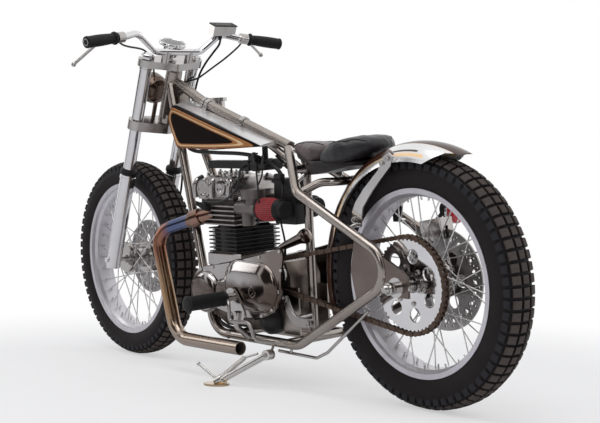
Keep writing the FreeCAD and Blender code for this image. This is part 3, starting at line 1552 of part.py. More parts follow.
def buildStand():
    pivot, foot, axis = standAxis()
    leg = rod(pivot, foot, z.stand_leg_radius)
    eye = rod(pivot - axis * (z.stand_eye_width / 2), pivot + axis * (z.stand_eye_width / 2),
        z.stand_eye_radius)
    upright = lean * foot
    disc = rod(vec(upright.x, upright.y, upright.z - z.stand_foot_thickness),
        vec(upright.x, upright.y, upright.z), z.stand_foot_radius)
    disc.Placement = lean.inverse() * disc.Placement
    ground = block(vec(0, -z.wheelbase, -z.wheelbase),
        vec(z.wheelbase, z.wheelbase, upright.z - z.stand_foot_thickness))
    ground.Placement = lean.inverse() * ground.Placement
    pinHole = rod(pivot - axis * z.stand_eye_width, pivot + axis * z.stand_eye_width,
        z.stand_pin_radius + z.axle_gap)
    tangStart, tangEnd = bikeRoute(tangShares)
    spring = bikeRoute(springShares)
    socket = rod(foot, foot + (pivot - foot).normalize() * z.stand_socket_height, z.stand_socket_radius)
    extras = [socket, rod(tangStart, tangEnd, z.stand_tang_radius),
        Part.makeSphere(z.stand_knob_radius, tangEnd),
              rod(spring[0], spring[1], z.stand_spring_radius), rod(spring[1], spring[2],
              z.stand_tang_radius)]
    stand = fused(leg, eye, disc, *extras).cut(ground).cut(pinHole)
    place(solidPiece("side_stand", stand), lean)
    # The bracket on the lower rail with the pin that the stand turns on.
    inner = pivot - axis * (z.stand_eye_width / 2 + z.axle_gap)
    plateEnd = inner - axis * z.plate_thickness
    plate = rod(inner, plateEnd, z.stand_eye_radius)
    rail = vec(pivot.x, bikeRoute(loopShares)[2].y, bikeRoute(loopShares)[2].z)
    pin = rod(plateEnd, pivot + axis * (z.stand_eye_width / 2 + z.stand_pin_overhang), z.stand_pin_radius)
    arm = rod(plateEnd + axis * (z.plate_thickness / 2), rail, z.plate_thickness / 2)
    place(solidPiece("stand_bracket", fused(plate, pin, arm).cut(loops)), lean)


buildStand()

# The whole machine is moved so that its origin lies under the middle of its box, on the ground.
doc.recompute()
box = FreeCAD.BoundBox()
for piece in nodes:
    box.add(piece.Shape.optimalBoundingBox(False, False))
shift = FreeCAD.Placement(vec(-box.Center.x, -box.Center.y, -box.ZMin), FreeCAD.Rotation())
for piece in nodes:
    piece.Placement = shift * piece.Placement
doc.recompute()

for thing in doc.Objects:
    if "Invalid" in thing.State or "Error" in thing.State:
        raise RuntimeError(thing.Label + " failed: " + str(thing.State))
for piece in nodes:
    if piece.Shape.isNull() or not piece.Shape.isValid() or not piece.Shape.Solids:
        raise RuntimeError(piece.Label + " has no valid shape")
for piece in nodes:
    piece.Shape.exportStep(f"parts/{piece.Label}.step")
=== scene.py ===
import bmesh
import bpy
import json
from math import acos, atan2, cos, hypot, pi, radians, sin, tau
from mathutils import Matrix, Vector, noise


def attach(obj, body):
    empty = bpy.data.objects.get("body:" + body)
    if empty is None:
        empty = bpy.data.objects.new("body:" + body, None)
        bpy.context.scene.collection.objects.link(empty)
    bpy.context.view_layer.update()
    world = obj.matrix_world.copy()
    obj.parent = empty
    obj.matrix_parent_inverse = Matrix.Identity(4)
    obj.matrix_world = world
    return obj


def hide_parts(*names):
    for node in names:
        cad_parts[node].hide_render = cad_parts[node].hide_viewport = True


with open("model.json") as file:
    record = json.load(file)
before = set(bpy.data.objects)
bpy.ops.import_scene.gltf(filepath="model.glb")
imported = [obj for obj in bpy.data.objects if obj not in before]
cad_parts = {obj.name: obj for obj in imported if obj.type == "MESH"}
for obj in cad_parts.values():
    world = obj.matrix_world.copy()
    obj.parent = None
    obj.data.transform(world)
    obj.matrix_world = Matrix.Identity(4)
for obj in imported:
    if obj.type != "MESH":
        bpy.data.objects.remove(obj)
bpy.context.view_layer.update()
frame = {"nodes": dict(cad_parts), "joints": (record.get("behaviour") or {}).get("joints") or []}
cadNodes = frame["nodes"]
joints = {joint["name"]: joint for joint in frame["joints"]}
mm = 0.001
print("frame loaded:", len(cadNodes), "nodes")

# Frames of the machine, as in the part's source: X forward, Y left, Z up, in millimetres.
machine = {"rearRadius": 344, "frontRadius": 330, "rimRadius": 256, "lowClamp": 816}
upward, leftward, rearward = (0, 0, 1), (0, 1, 0), (-1, 0, 0)


def frameFrom(origin, ahead, across, above):
    return Matrix.Translation(origin) @ Matrix((ahead, across, above)).transposed().to_4x4()


rearSpin, frontSpin, turn = (joints[name] for name in ("rear_wheel_spin", "front_wheel_spin", "steering_turn"))
forward, rearSide = Vector((1, 0, 0)), Vector(rearSpin["axis"])
rearWheel = frameFrom(Vector(rearSpin["pos_m"]), forward, rearSide, forward.cross(rearSide))
bike = rearWheel @ Matrix.Translation((0, 0, -machine["rearRadius"] * mm))
steerUp, steerSide = Vector(turn["axis"]), Vector(frontSpin["axis"])
steerFront = steerSide.cross(steerUp)
frontWheel = frameFrom(Vector(frontSpin["pos_m"]), steerFront, steerSide, steerUp)
steer = frameFrom(Vector(turn["pos_m"]) - steerUp * machine["lowClamp"] * mm, steerFront, steerSide, steerUp)
places = {"chassis": bike, "steering": steer, "rear_wheel": rearWheel, "front_wheel": frontWheel}


# Shader nodes
class Value:
    # One socket, with the operators that a mask needs.
    def __init__(self, graph, socket):
        self.graph, self.socket = graph, socket

    def math(self, operation, *others):
        return self.graph.node("ShaderNodeMath", {"operation": operation}, (self, *others))

    def __add__(self, other):
        return self.math("ADD", other)

    def __sub__(self, other):
        return self.math("SUBTRACT", other)

    def __rsub__(self, other):
        return self.graph.node("ShaderNodeMath", {"operation": "SUBTRACT"}, (other, self))

    def __mul__(self, other):
        return self.math("MULTIPLY", other)

    def __truediv__(self, other):
        return self.math("DIVIDE", other)

    def __pow__(self, other):
        return self.math("POWER", other)

    def __abs__(self):
        return self.math("ABSOLUTE")

    __radd__ = __add__
    __rmul__ = __mul__

    def fraction(self):
        return self.math("FRACT")

    def least(self, other):
        return self.math("MINIMUM", other)

    def most(self, other):
        return self.math("MAXIMUM", other)

    def angleFrom(self, other):
        return self.math("ARCTAN2", other)

    def turnsFrom(self, other):
        return self.angleFrom(other) / tau + 0.5

    def step(self, low, high):
        # 0 at low, 1 at high, smooth between; low may be the larger one
        return self.graph.node("ShaderNodeMapRange", {"interpolation_type": "SMOOTHSTEP"},
                               {"Value": self, "From Min": low, "From Max": high})

    def band(self, start, rise, fall, end):
        return self.step(start, rise) * (1 - self.step(fall, end))

    def mix(self, first, second):
        return self.graph.node("ShaderNodeMix", {"data_type": "RGBA"}, {0: self, 6: first, 7: second}, 2)

    def tone(self, colour, dark, light):
        # One colour, clouded between two strengths.
        return self.mix(*(tuple(min(1, part * factor) for part in colour) for factor in (dark, light)))


class Graph:
    # The node tree of a material or a world.
    def __init__(self, owner):
        owner.use_nodes = True
        self.owner, self.tree = owner, owner.node_tree

    def node(self, kind, settings=None, inputs=(), output=0):
        made = self.tree.nodes.new(kind)
        for key, value in (settings or {}).items():
            setattr(made, key, value)
        for key, value in inputs.items() if isinstance(inputs, dict) else enumerate(inputs):
            self.feed(made.inputs[key], value)
        return Value(self, made.outputs[output])

    def feed(self, socket, value):
        if isinstance(value, Value):
            self.tree.links.new(value.socket, socket)
        else:
            socket.default_value = (*value, 1) if socket.type == "RGBA" else value

    def surface(self, colour, rough, metallic=0.0, bump=None, more=None):
        # bump: a height and its depth in millimetres; more: other inputs of the shader
        inputs = {"Base Color": colour, "Roughness": rough, "Metallic": metallic, **(more or {})}
        if bump:
            inputs["Normal"] = self.node("ShaderNodeBump", None, {"Height": bump[0], "Distance": bump[1] * mm,
                                                                  "Strength": 1.0})
        for name, value in inputs.items():
            self.feed(self.tree.nodes["Principled BSDF"].inputs[name], value)
        return self.owner

    def vector(self, operation, first, second, output=0):
        return self.node("ShaderNodeVectorMath", {"operation": operation}, [first, second], output)

    def here(self):
        return self.node("ShaderNodeTexCoord", output="Object")

    def along(self, place, axis):
        # Distance in millimetres along one axis of a frame of the machine.
        offset = self.vector("SUBTRACT", self.here(), tuple(place.translation))
        return self.vector("DOT_PRODUCT", offset, tuple(place.to_3x3().col[axis]), 1) * (1 / mm)

    def axes(self, place, chosen=(0, 1, 2)):
        return [self.along(place, axis) for axis in chosen]

    def noise(self, scale, detail=3, stretch=(1, 1, 1)):
        spread = self.vector("MULTIPLY", self.here(), stretch)
        return self.node("ShaderNodeTexNoise", None, {"Vector": spread, "Scale": scale, "Detail": detail})


def newGraph(name):
    return Graph(bpy.data.materials.new(name))


def reach(a, b):
    return (a * a + b * b) ** 0.5


def metal(name, look):
    # Bare or plated metal: cloudy tone, fine grain in the gloss, faint dust in patches.
    graph = newGraph(name)
    cloud, grain = graph.noise(look["cloud"], 4), graph.noise(look["grain"], 2)
    dust = graph.noise(look["cloud"] * 2.3, 5).step(0.52, 0.75) * look.get("dust", 0.15)
    colour = dust.mix(cloud.tone(look["colour"], 0.86, 1.1), look.get("dustColour", (0.25, 0.21, 0.18)))
    return graph.surface(colour, look["rough"] + (grain - 0.5) * look["spread"] + dust * 0.6,
                         look.get("metallic", 1.0), (grain + cloud * 2, look["relief"]))


def dull(name, look):
    # Rubber, plastic, crackle paint: not metal, with a grain of its own.
    graph = newGraph(name)
    cloud, grain = graph.noise(look["cloud"], 4), graph.noise(look["grain"], 3)
    return graph.surface(cloud.tone(look["colour"], 0.7, 1.35), look["rough"] + (grain - 0.5) * look["spread"],
                         look.get("metallic", 0.0), (grain, look["relief"]),
                         {"Specular IOR Level": look.get("gloss", 0.3)})


metals = {
    "polishedSteel": {"colour": (0.50, 0.48, 0.465), "rough": 0.18, "spread": 0.1, "cloud": 14, "grain": 300,
                      "relief": 0.012},
    "polishedAlloy": {"colour": (0.50, 0.475, 0.46), "rough": 0.15, "spread": 0.1, "cloud": 11, "grain": 220,
                      "relief": 0.015, "dust": 0.22},
    "chrome": {"colour": (0.76, 0.75, 0.755), "rough": 0.08, "spread": 0.06, "cloud": 8, "grain": 180,
               "relief": 0.005, "dust": 0.06},
    "lampBronze": {"colour": (0.115, 0.082, 0.066), "rough": 0.2, "spread": 0.1, "cloud": 18, "grain": 220,
                   "relief": 0.01},
    "spokeSteel": {"colour": (0.70, 0.69, 0.68), "rough": 0.22, "spread": 0.15, "cloud": 30, "grain": 500,
                   "relief": 0.02},
    "chainSteel": {"colour": (0.13, 0.09, 0.07), "rough": 0.45, "spread": 0.3, "cloud": 90, "grain": 700,
                   "relief": 0.08, "dust": 0.5, "dustColour": (0.06, 0.035, 0.025)},
    "rimSilver": {"colour": (0.66, 0.64, 0.68), "rough": 0.36, "spread": 0.1, "cloud": 12, "grain": 350,
                  "relief": 0.02, "metallic": 0.85},
    "castCrank": {"colour": (0.42, 0.395, 0.385), "rough": 0.36, "spread": 0.14, "cloud": 30, "grain": 300,
                  "relief": 0.04},
}
dulls = {
    "blackRubber": {"colour": (0.012, 0.011, 0.012), "rough": 0.5, "gloss": 0.22, "spread": 0.25, "cloud": 30,
                    "grain": 500, "relief": 0.08},
    "blackPlastic": {"colour": (0.02, 0.019, 0.02), "rough": 0.42, "spread": 0.2, "cloud": 20, "grain": 700,
                     "relief": 0.08},
    "blackIron": {"colour": (0.028, 0.025, 0.025), "rough": 0.44, "spread": 0.25, "cloud": 30, "grain": 500,
                  "relief": 0.15, "metallic": 0.25},
    "carbGrey": {"colour": (0.17, 0.15, 0.14), "rough": 0.4, "spread": 0.3, "cloud": 40, "grain": 400,
                 "relief": 0.2, "metallic": 0.7},
    "tyreRubber": {"colour": (0.014, 0.011, 0.011), "rough": 0.62, "spread": 0.2, "cloud": 18, "grain": 420,
                   "relief": 0.12, "gloss": 0.18},
}
finish = {name: metal(name, look) for name, look in metals.items()}
finish.update({name: dull(name, look) for name, look in dulls.items()})
print("plain finishes made:", len(finish))


# Meshes: every form is (points in millimetres, faces)
def ringed(rings, capped=True):
    # Skin over rings with equal numbers of points.
    count = len(rings[0])
    points = [point for ring in rings for point in ring]
    faces = []
    for base in range(0, (len(rings) - 1) * count, count):
        for i in range(count):
            j = (i + 1) % count
            faces.append((base + i, base + j, base + count + j, base + count + i))
    if capped:
        faces.append(tuple(reversed(range(count))))
        faces.append(tuple(range((len(rings) - 1) * count, len(rings) * count)))
    return points, faces


def polar(radius, angle, y):
    return Vector((radius * cos(angle), y, radius * sin(angle)))


def lathed(profile, start, along, segments=48):
    # profile: (distance along the axis, radius)
    along = Vector(along).normalized()
    side = along.orthogonal().normalized()
    other = along.cross(side)
    angles = [tau * i / segments for i in range(segments)]
    return ringed([[Vector(start) + along * distance + side * (radius * cos(angle)) + other * (radius * sin(angle))
                    for angle in angles] for distance, radius in profile])


def hoop(profile, segments):
    # profile: closed loop of (radius, y), turned about an axle
    rings = [[polar(radius, tau * i / segments, y) for radius, y in profile] for i in range(segments)]
    points, faces = ringed(rings + [rings[0]], capped=False)
    total = segments * len(profile)
    return points[:total], [tuple(corner % total for corner in face) for face in faces]


def smoothLine(points, steps=8):
    # A soft line through the points.
    line = [Vector(point) for point in points]
    ends = [line[0] * 2 - line[1]] + line + [line[-1] * 2 - line[-2]]
    made = []
    for a, b, c, d in zip(ends, ends[1:], ends[2:], ends[3:]):
        for i in range(steps):
            t = i / steps
            made.append(0.5 * (2 * b + (c - a) * t + (2 * a - 5 * b + 4 * c - d) * t ** 2
                               + (3 * b - a - 3 * c + d) * t ** 3))
    return made + [line[-1]]


def cornered(points, room, steps=5):
    # A polyline whose corners are rounded off within the room given.
    points = [Vector(point) for point in points]
    line = [points[0]]
    for a, b, c in zip(points, points[1:], points[2:]):
        into = (b - a).normalized() * min(room, (b - a).length * 0.45)
        out = (c - b).normalized() * min(room, (c - b).length * 0.45)
        for i in range(steps + 1):
            t = i / steps
            line.append((b - into) * (1 - t) ** 2 + b * (2 * t * (1 - t)) + (b + out) * t ** 2)
    return line + [points[-1]]


def alongLine(line, i):
    return (line[min(i + 1, len(line) - 1)] - line[max(i - 1, 0)]).normalized()


def swept(line, radius, segments=16):
    # A tube along a line.
    section = [(radius * cos(tau * i / segments), radius * sin(tau * i / segments)) for i in range(segments)]
    rings, side = [], None
    for i, point in enumerate(line):
        along = alongLine(line, i)
        side = along.orthogonal() if side is None else side - along * side.dot(along)
        side.normalize()
        up = along.cross(side)
        rings.append([point + side * a + up * b for a, b in section])
    return ringed(rings)


def hullRing(circles, inset, y, steps=10):
    # The outline round circles (x, z, radius) given anticlockwise, drawn in by inset, at y.
    ring, angles = [], []
    for (x1, z1, r1), (x2, z2, r2) in zip(circles, circles[1:] + circles[:1]):
        angles.append(atan2(z2 - z1, x2 - x1) - acos((r1 - r2) / hypot(x2 - x1, z2 - z1)))
    for i, (x, z, radius) in enumerate(circles):
        start, sweep = angles[i - 1], (angles[i] - angles[i - 1]) % tau
        for k in range(steps):
            angle = start + sweep * k / (steps - 1)
            ring.append(Vector((x + (radius - inset) * cos(angle), y, z + (radius - inset) * sin(angle))))
    return ring


def circleRing(circle, inset, y, steps=64):
    x, z, radius = circle
    return [Vector((x + (radius - inset) * cos(tau * i / steps), y, z + (radius - inset) * sin(tau * i / steps)))
            for i in range(steps)]


def domed(circles, levels, steps):
    # levels: (inset, y) from the foot to the crown
    if len(circles) == 1:
        return ringed([circleRing(circles[0], inset, y) for inset, y in levels])
    return ringed([hullRing(circles, inset, y, steps) for inset, y in levels])


def plate(corners, low, high, chamfer):
    # A flat plate between two y planes; the corners are (x, z).
    middle = sum((Vector(corner) for corner in corners), Vector((0, 0))) / len(corners)
    rings = []
    for y, inset in ((low, chamfer), (low + chamfer, 0), (high - chamfer, 0), (high, chamfer)):
        pulled = [Vector(corner) + (middle - Vector(corner)).normalized() * inset for corner in corners]
        rings.append([Vector((x, y, z)) for x, z in pulled])
    return ringed(rings)


def box(low, high, chamfer):
    (x1, y1, z1), (x2, y2, z2) = Vector(low), Vector(high)
    return ringed([[Vector((x, y, z)) for x, y in ((x1 + inset, y1 + inset), (x2 - inset, y1 + inset),
                                                   (x2 - inset, y2 - inset), (x1 + inset, y2 - inset))]
                   for z, inset in ((z1, chamfer), (z1 + chamfer, 0), (z2 - chamfer, 0), (z2, chamfer))])


def bolt(centre, along, radius, height):
    # A hexagon head on a washer.
    head = [(0, radius * 0.99), (height, radius), (height * 1.12, radius * 0.86)]
    washer = [(-0.4, radius * 1.25), (0.8, radius * 1.25), (1, radius * 1.15)]
    return [lathed(head, centre, along, 6), lathed(washer, centre, along, 20)]


def mirrored(forms):
    return [([Vector((p.x, -p.y, p.z)) for p in points], [tuple(reversed(face)) for face in faces])
            for points, faces in forms]


def makeShell(name, forms, body, look, sharp):
    points, faces = [], []
    for somePoints, someFaces in forms:
        faces += [tuple(corner + len(points) for corner in face) for face in someFaces]
        points += [places[body] @ (Vector(point) * mm) for point in somePoints]
    mesh = bpy.data.meshes.new(name)
    mesh.from_pydata([tuple(point) for point in points], [], faces)
    mesh.validate()
    shell = bmesh.new()
    shell.from_mesh(mesh)
    bmesh.ops.recalc_face_normals(shell, faces=shell.faces)
    shell.to_mesh(mesh)
    shell.free()
    mesh.shade_smooth()
    mesh.set_sharp_from_angle(angle=radians(sharp))
    mesh.materials.append(finish[look])
    return linked(mesh, name)


def linked(data, name):
    made = bpy.data.objects.new(name, data)
    bpy.context.scene.collection.objects.link(made)
    return made


def makePiece(name, forms, body, look, replaces=(), sharp=38):
    piece = makeShell(name, forms, body, look, sharp)
    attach(piece, body)
    if replaces:
        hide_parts(*replaces)


# Camera, floor and lamps
camera = {"azimuth": 229.276, "elevation": 1.544, "distance": 4.2052, "aim": (0.5674, 0, 0.5130), "roll": 1.134,
          "lens": 84.244, "sensor": 36}
studio = {"floor": (0.94, 0.935, 0.94), "reach": 14, "ambient": 0.5, "sky": (0.93, 0.95, 1.0), "shadow": 0.5,
          "shadowFade": (1000, 2300), "card": (0.055, 0.046, 0.042), "middle": 0.6}
# Lamps: place, aim, width, height, power, from the point on the floor under the rear axle.
lamps = {
    "over": ((0.2, 1.0, 3.4), (0.5, 0, 0.5), 2.6, 1.6, 27),
    "left": ((-1.2, 4.6, 2.6), (0.6, 0, 0.5), 1.2, 2.2, 17),
    "rear": ((-3.8, -1.4, 2.2), (0.3, 0, 0.5), 1.0, 2.0, 12),
    "front": ((4.2, 2.2, 2.0), (0.8, 0, 0.5), 1.2, 2.0, 18),
    "right": ((0.8, -4.2, 2.4), (0.5, 0, 0.5), 2.6, 2.0, 17),
}
# Dark cards that only reflections see: distance, azimuth, width, low and high edge.
cards = {"viewer": (5.2, 229, 4.6, 0.3, 4.4), "side": (5.0, 176, 4.4, 0.3, 4.4),
         "tail": (5.2, 283, 4.6, 0.4, 4.4), "nose": (5.4, 122, 3.6, 0.5, 4.4)}
ground = bike.translation.copy()


def buildCamera():
    azimuth, elevation, roll = (radians(camera[name]) for name in ("azimuth", "elevation", "roll"))
    back = Vector((sin(azimuth) * cos(elevation), -cos(azimuth) * cos(elevation), sin(elevation)))
    right = (-back).cross(Vector(upward)).normalized()
    tilted = right * cos(roll) + right.cross(-back) * sin(roll)
    data = bpy.data.cameras.new("view")
    data.lens, data.sensor_width = camera["lens"], camera["sensor"]
    eye = linked(data, "view")
    spot = ground + Vector(camera["aim"]) + back * camera["distance"]
    eye.matrix_world = frameFrom(spot, tilted, back.cross(tilted), back)
    bpy.context.scene.camera = eye


def stageSheet(name, corners, material):
    mesh = bpy.data.meshes.new(name)
    mesh.from_pydata(corners, [], [(0, 1, 2, 3)])
    mesh.materials.append(material)
    sheet = linked(mesh, name)
    return sheet


def buildFloor():
    # White away from the machine, where only the camera looks, so that the floor has no horizon.
    graph = newGraph("paleFloor")
    graph.surface(graph.noise(1.5, 3).tone(studio["floor"], 0.99, 1), 0.75)
    white = graph.node("ShaderNodeEmission", None, {"Color": (1, 1, 1), "Strength": 1.0})
    lit = Value(graph, graph.tree.nodes["Principled BSDF"].outputs[0])
    x, y = graph.axes(Matrix.Translation(ground), (0, 1))
    away = reach(x - studio["middle"] / mm, y)
    veil = (1 - studio["shadow"]) + away.step(*studio["shadowFade"]) * studio["shadow"]
    seen = graph.node("ShaderNodeLightPath", output="Is Camera Ray") * veil
    mixed = graph.node("ShaderNodeMixShader", None, [seen, lit, white])
    graph.feed(graph.tree.nodes["Material Output"].inputs[0], mixed)
    far = studio["reach"]
    stageSheet("floor", [(-far, -far, 0), (far, -far, 0), (far, far, 0), (-far, far, 0)], graph.owner)


def buildCards():
    dark = newGraph("darkCard").surface(studio["card"], 0.9)
    centre = ground + Vector((studio["middle"], 0, 0))
    for name, (distance, azimuth, width, low, high) in cards.items():
        sine, cosine = sin(radians(azimuth)), cos(radians(azimuth))
        out, across = Vector((sine, -cosine, 0)), Vector((cosine, sine, 0))
        corners = [centre + out * distance + across * a * width / 2 + Vector((0, 0, b))
                   for a, b in ((-1, low), (1, low), (1, high), (-1, high))]
        card = stageSheet("card_" + name, corners, dark)
        card.visible_camera = card.visible_diffuse = card.visible_shadow = card.visible_transmission = False


def buildWorld():
    # Plain white where a ray looks or mirrors, a dimmer sky where it lights.
    world = bpy.data.worlds.new("studio")
    bpy.context.scene.world = world
    graph = Graph(world)
    sky = graph.node("ShaderNodeBackground", None, {"Color": studio["sky"], "Strength": studio["ambient"]})
    bright = graph.node("ShaderNodeBackground", None, {"Color": (1, 1, 1), "Strength": 1.0})
    seen, glossy, clear = (graph.node("ShaderNodeLightPath", output=f"Is {kind} Ray")
                           for kind in ("Camera", "Glossy", "Transmission"))
    mixed = graph.node("ShaderNodeMixShader", None, [seen.most(glossy).most(clear), sky, bright])
    graph.feed(graph.tree.nodes["World Output"].inputs[0], mixed)


def buildLamps():
    for name, (spot, aim, width, height, power) in lamps.items():
        light = bpy.data.lights.new(name, "AREA")
        light.shape, light.size, light.size_y, light.energy = "RECTANGLE", width, height, power
        facing = (Vector(aim) - Vector(spot)).to_track_quat("-Z", "Y").to_matrix().to_4x4()
        linked(light, name).matrix_world = Matrix.Translation(ground + Vector(spot)) @ facing
    bpy.context.scene.view_settings.view_transform = "Standard"


buildCamera()
buildFloor()
buildCards()
buildWorld()
buildLamps()
print("camera, floor and lamps placed")

# Tyres: a carcass with square blocks in three rows and a row on each shoulder. The shape is (height, half
# width) from the rim up; the levels of a block are (lift, growth) from its foot up.
tyreLook = {
    "shape": ((-9.7, 41), (0.6, 42), (6, 47), (16, 51), (30, 54), (42, 54), (52, 53), (63, 50), (72, 46), (79, 39),
              (84, 30), (87, 18), (88, 0)),
    "tall": 88, "wide": 54, "lowestGroove": 50, "grooveRun": 18, "flank": (45, 80, 1.5), "wall": 4, "bead": 9,
    "count": 68, "groove": 8, "rows": (-29, 0, 29), "rowWidth": 20, "share": 0.7,
    "levels": ((-9, 1.16), (-1.2, 1.0), (0, 0.88)),
    "corners": ((-1, -1), (0, -1), (1, -1), (1, 1), (0, 1), (-1, 1)),
    "shoulder": (41, 66), "shoulderShare": 0.34, "shoulderLevels": ((-5, 1.1), (0, 1.0), (1.2, 0.9)),
    "shoulderCorners": ((-1, 0), (1, 0), (1, 1), (-1, 1)),
    "base": (0.013, 0.010, 0.010), "worn": (0.090, 0.074, 0.066), "shoulderTint": (0.022, 0.022, 0.026),
}


def treadFinish(name, place, radius):
    graph = newGraph(name)
    x, y, z = graph.axes(place)
    out = reach(x, z) + y * y * 0.0075
    speck, scuff = graph.noise(260, 4), graph.noise(40, 4)
    top = out.step(radius - 3.0, radius - 1.0) * (1 - abs(y).step(39, 42)) * (scuff * 0.5 + 0.62)
    base = abs(y).step(40, 44).mix(tyreLook["base"], tyreLook["shoulderTint"])
    return graph.surface(top.mix(base, speck.tone(tyreLook["worn"], 0.72, 1.35)),
                         0.62 + top * 0.25 + (speck - 0.5) * 0.1, 0.0, (speck, 0.3), {"Specular IOR Level": 0.2})


def buildTyre(name, body, radius, halfWidth):
    rim, shape = machine["rimRadius"], tyreLook["shape"]
    tall, wide = (radius - rim) / tyreLook["tall"], halfWidth / tyreLook["wide"]
    step = tau / tyreLook["count"]

    def surfaceRadius(y):
        y = abs(y) / wide
        for (up1, out1), (up2, out2) in zip(shape[::-1], shape[-2::-1]):
            if out1 <= y <= out2:
                return rim + (up1 + (up2 - up1) * (y - out1) / (out2 - out1)) * tall

    def crownSpot(i, row, a, b, lift, grow):
        y = (row + b * tyreLook["rowWidth"] / 2 * grow) * wide
        return polar(surfaceRadius(y) + lift, i * step + a * step * tyreLook["share"] / 2 * grow, y)

    def shoulderSpot(i, side, a, b, lift, grow):
        low, high = tyreLook["shoulder"]
        up = low + (high - low) * (0.5 + (b - 0.5) * grow)
        outward = 50.5 - 0.1 * max(0, up - 58) ** 1.1 + lift * 0.85
        far = rim + (up + lift * 0.25 + (4 if b else 0)) * tall
        return polar(far, i * step + a * step * tyreLook["shoulderShare"] * grow, side * outward * wide)

    half, (flankLow, flankHigh, flankInset) = [], tyreLook["flank"]
    for up, out in shape:
        drop = tyreLook["groove"] * min(1, max(0, (up - tyreLook["lowestGroove"]) / tyreLook["grooveRun"]))
        half.append((rim + up * tall - drop, out * wide - (flankInset if flankLow < up < flankHigh else 0)))
    profile = half + [(r, -y) for r, y in reversed(half[:-1])]
    profile += [(max(rim - tyreLook["bead"], r - tyreLook["wall"]), y * 0.8) for r, y in reversed(profile)]
    makePiece(name + "_carcass", [hoop(profile, 144)], body, "tyreRubber", [name], sharp=50)

    forms = []
    for i in range(tyreLook["count"]):
        for row in tyreLook["rows"]:
            forms.append(ringed([[crownSpot(i, row, a, b, lift, grow) for a, b in tyreLook["corners"]]
                                 for lift, grow in tyreLook["levels"]]))
        for side in (-1, 1):
            corners = tyreLook["shoulderCorners"][::side]
            forms.append(ringed([[shoulderSpot(i, side, a, b, lift, grow) for a, b in corners]
                                 for lift, grow in tyreLook["shoulderLevels"]]))
    finish[name] = treadFinish(name + "Tread", places[body], radius)
    makePiece(name + "_tread", forms, body, name, sharp=25)


buildTyre("rear_tyre", "rear_wheel", machine["rearRadius"], 54)
buildTyre("front_tyre", "front_wheel", machine["frontRadius"], 49)
print("tyres built")

# Drive chain: plates and rollers on the loop round both sprockets
chainLook = {"plane": 70.5, "rear": (0, 344, 130), "front": (545, 337, 41), "links": 104, "end": 6.6, "waist": 4.8,
             "corner": 0.72, "plate": 1.8, "sides": (4.9, 7.2), "roller": ((-4.6, 5.2), (4.6, 5.2)),
             "pin": ((-8.9, 1.6), (-8.5, 2.2), (8.5, 2.2), (8.9, 1.6))}


def chainPins(count):
    # Points at equal steps along the loop.
    ring = hullRing([chainLook["rear"], chainLook["front"]], 0, chainLook["plane"], 120)
    ring.append(ring[0])
    total = sum((b - a).length for a, b in zip(ring, ring[1:]))
    made, walked, target = [], 0, 0
    for a, b in zip(ring, ring[1:]):
        length = (b - a).length
        while target < walked + length and len(made) < count:
            made.append(a + (b - a) * ((target - walked) / length))
            target += total / count
        walked += length
    return made


def buildChain():
    pins, forms = chainPins(chainLook["links"]), []
    end, waist, corner = chainLook["end"], chainLook["waist"], chainLook["end"] * chainLook["corner"]
    for i, pin in enumerate(pins):
        link = pins[(i + 1) % len(pins)] - pin
        along, length = link.normalized(), link.length
        up = Vector((-along.z, 0, along.x))
        shape = [(-corner, -corner), (0, -end), (length / 2, -waist), (length, -end), (length + corner, -corner),
                 (length + end, 0), (length + corner, corner), (length, end), (length / 2, waist), (0, end),
                 (-corner, corner), (-end, 0)]
        for side in (-1, 1):
            near = side * chainLook["sides"][i % 2]
            forms.append(ringed([[pin + along * a + up * b + Vector((0, y, 0)) for a, b in shape]
                                 for y in sorted((near, near + side * chainLook["plate"]))]))
        forms.append(lathed(chainLook["pin"], pin, leftward, 10))
        forms.append(lathed(chainLook["roller"], pin, leftward, 12))
    makePiece("chain_links", forms, "chassis", "chainSteel", ["drive_chain"], sharp=30)


buildChain()
print("chain built")

# Paint: the tank, the fender and the pipes take their colours from places on the machine
tankLook = {"side": ((600, 713), (819, 703), (1008, 709), (1027, 745), (1057, 800), (1027, 846), (1000, 838),
                     (819, 781)), "border": 14, "round": 26, "line": (5.5, 7, 9.5, 11), "black": (0.006, 0.004, 0.0036),
            "clouded": (0.015, 0.009, 0.008), "copper": (0.50, 0.21, 0.075), "gold": (0.95, 0.66, 0.38),
            "silver": (0.80, 0.79, 0.79)}
fenderLook = {"axle": 344, "silver": (0.87, 0.86, 0.86), "brown": (0.050, 0.020, 0.012), "gold": (0.96, 0.68, 0.40),
              "skin": (323, 326), "arc": (0.17, 1.22), "crown": 30, "crownLine": 31.6, "front": 63, "frontLine": 66,
              "split": (156, 162), "stripe": (53.5, 58), "stripeStart": (-38, -30), "band": (61, 67),
              "bandStart": (-12, -4)}
pipeLook = {"straw": (0.40, 0.235, 0.115), "rust": (0.28, 0.085, 0.035), "blue": (0.045, 0.10, 0.26),
            "collar": (0.27, 0.13, 0.095), "steel": (0.36, 0.30, 0.255), "violet": (0.15, 0.075, 0.12),
            "soot": (0.006, 0.006, 0.006), "mouth": (150, 118), "bore": (18.6, 19.4)}


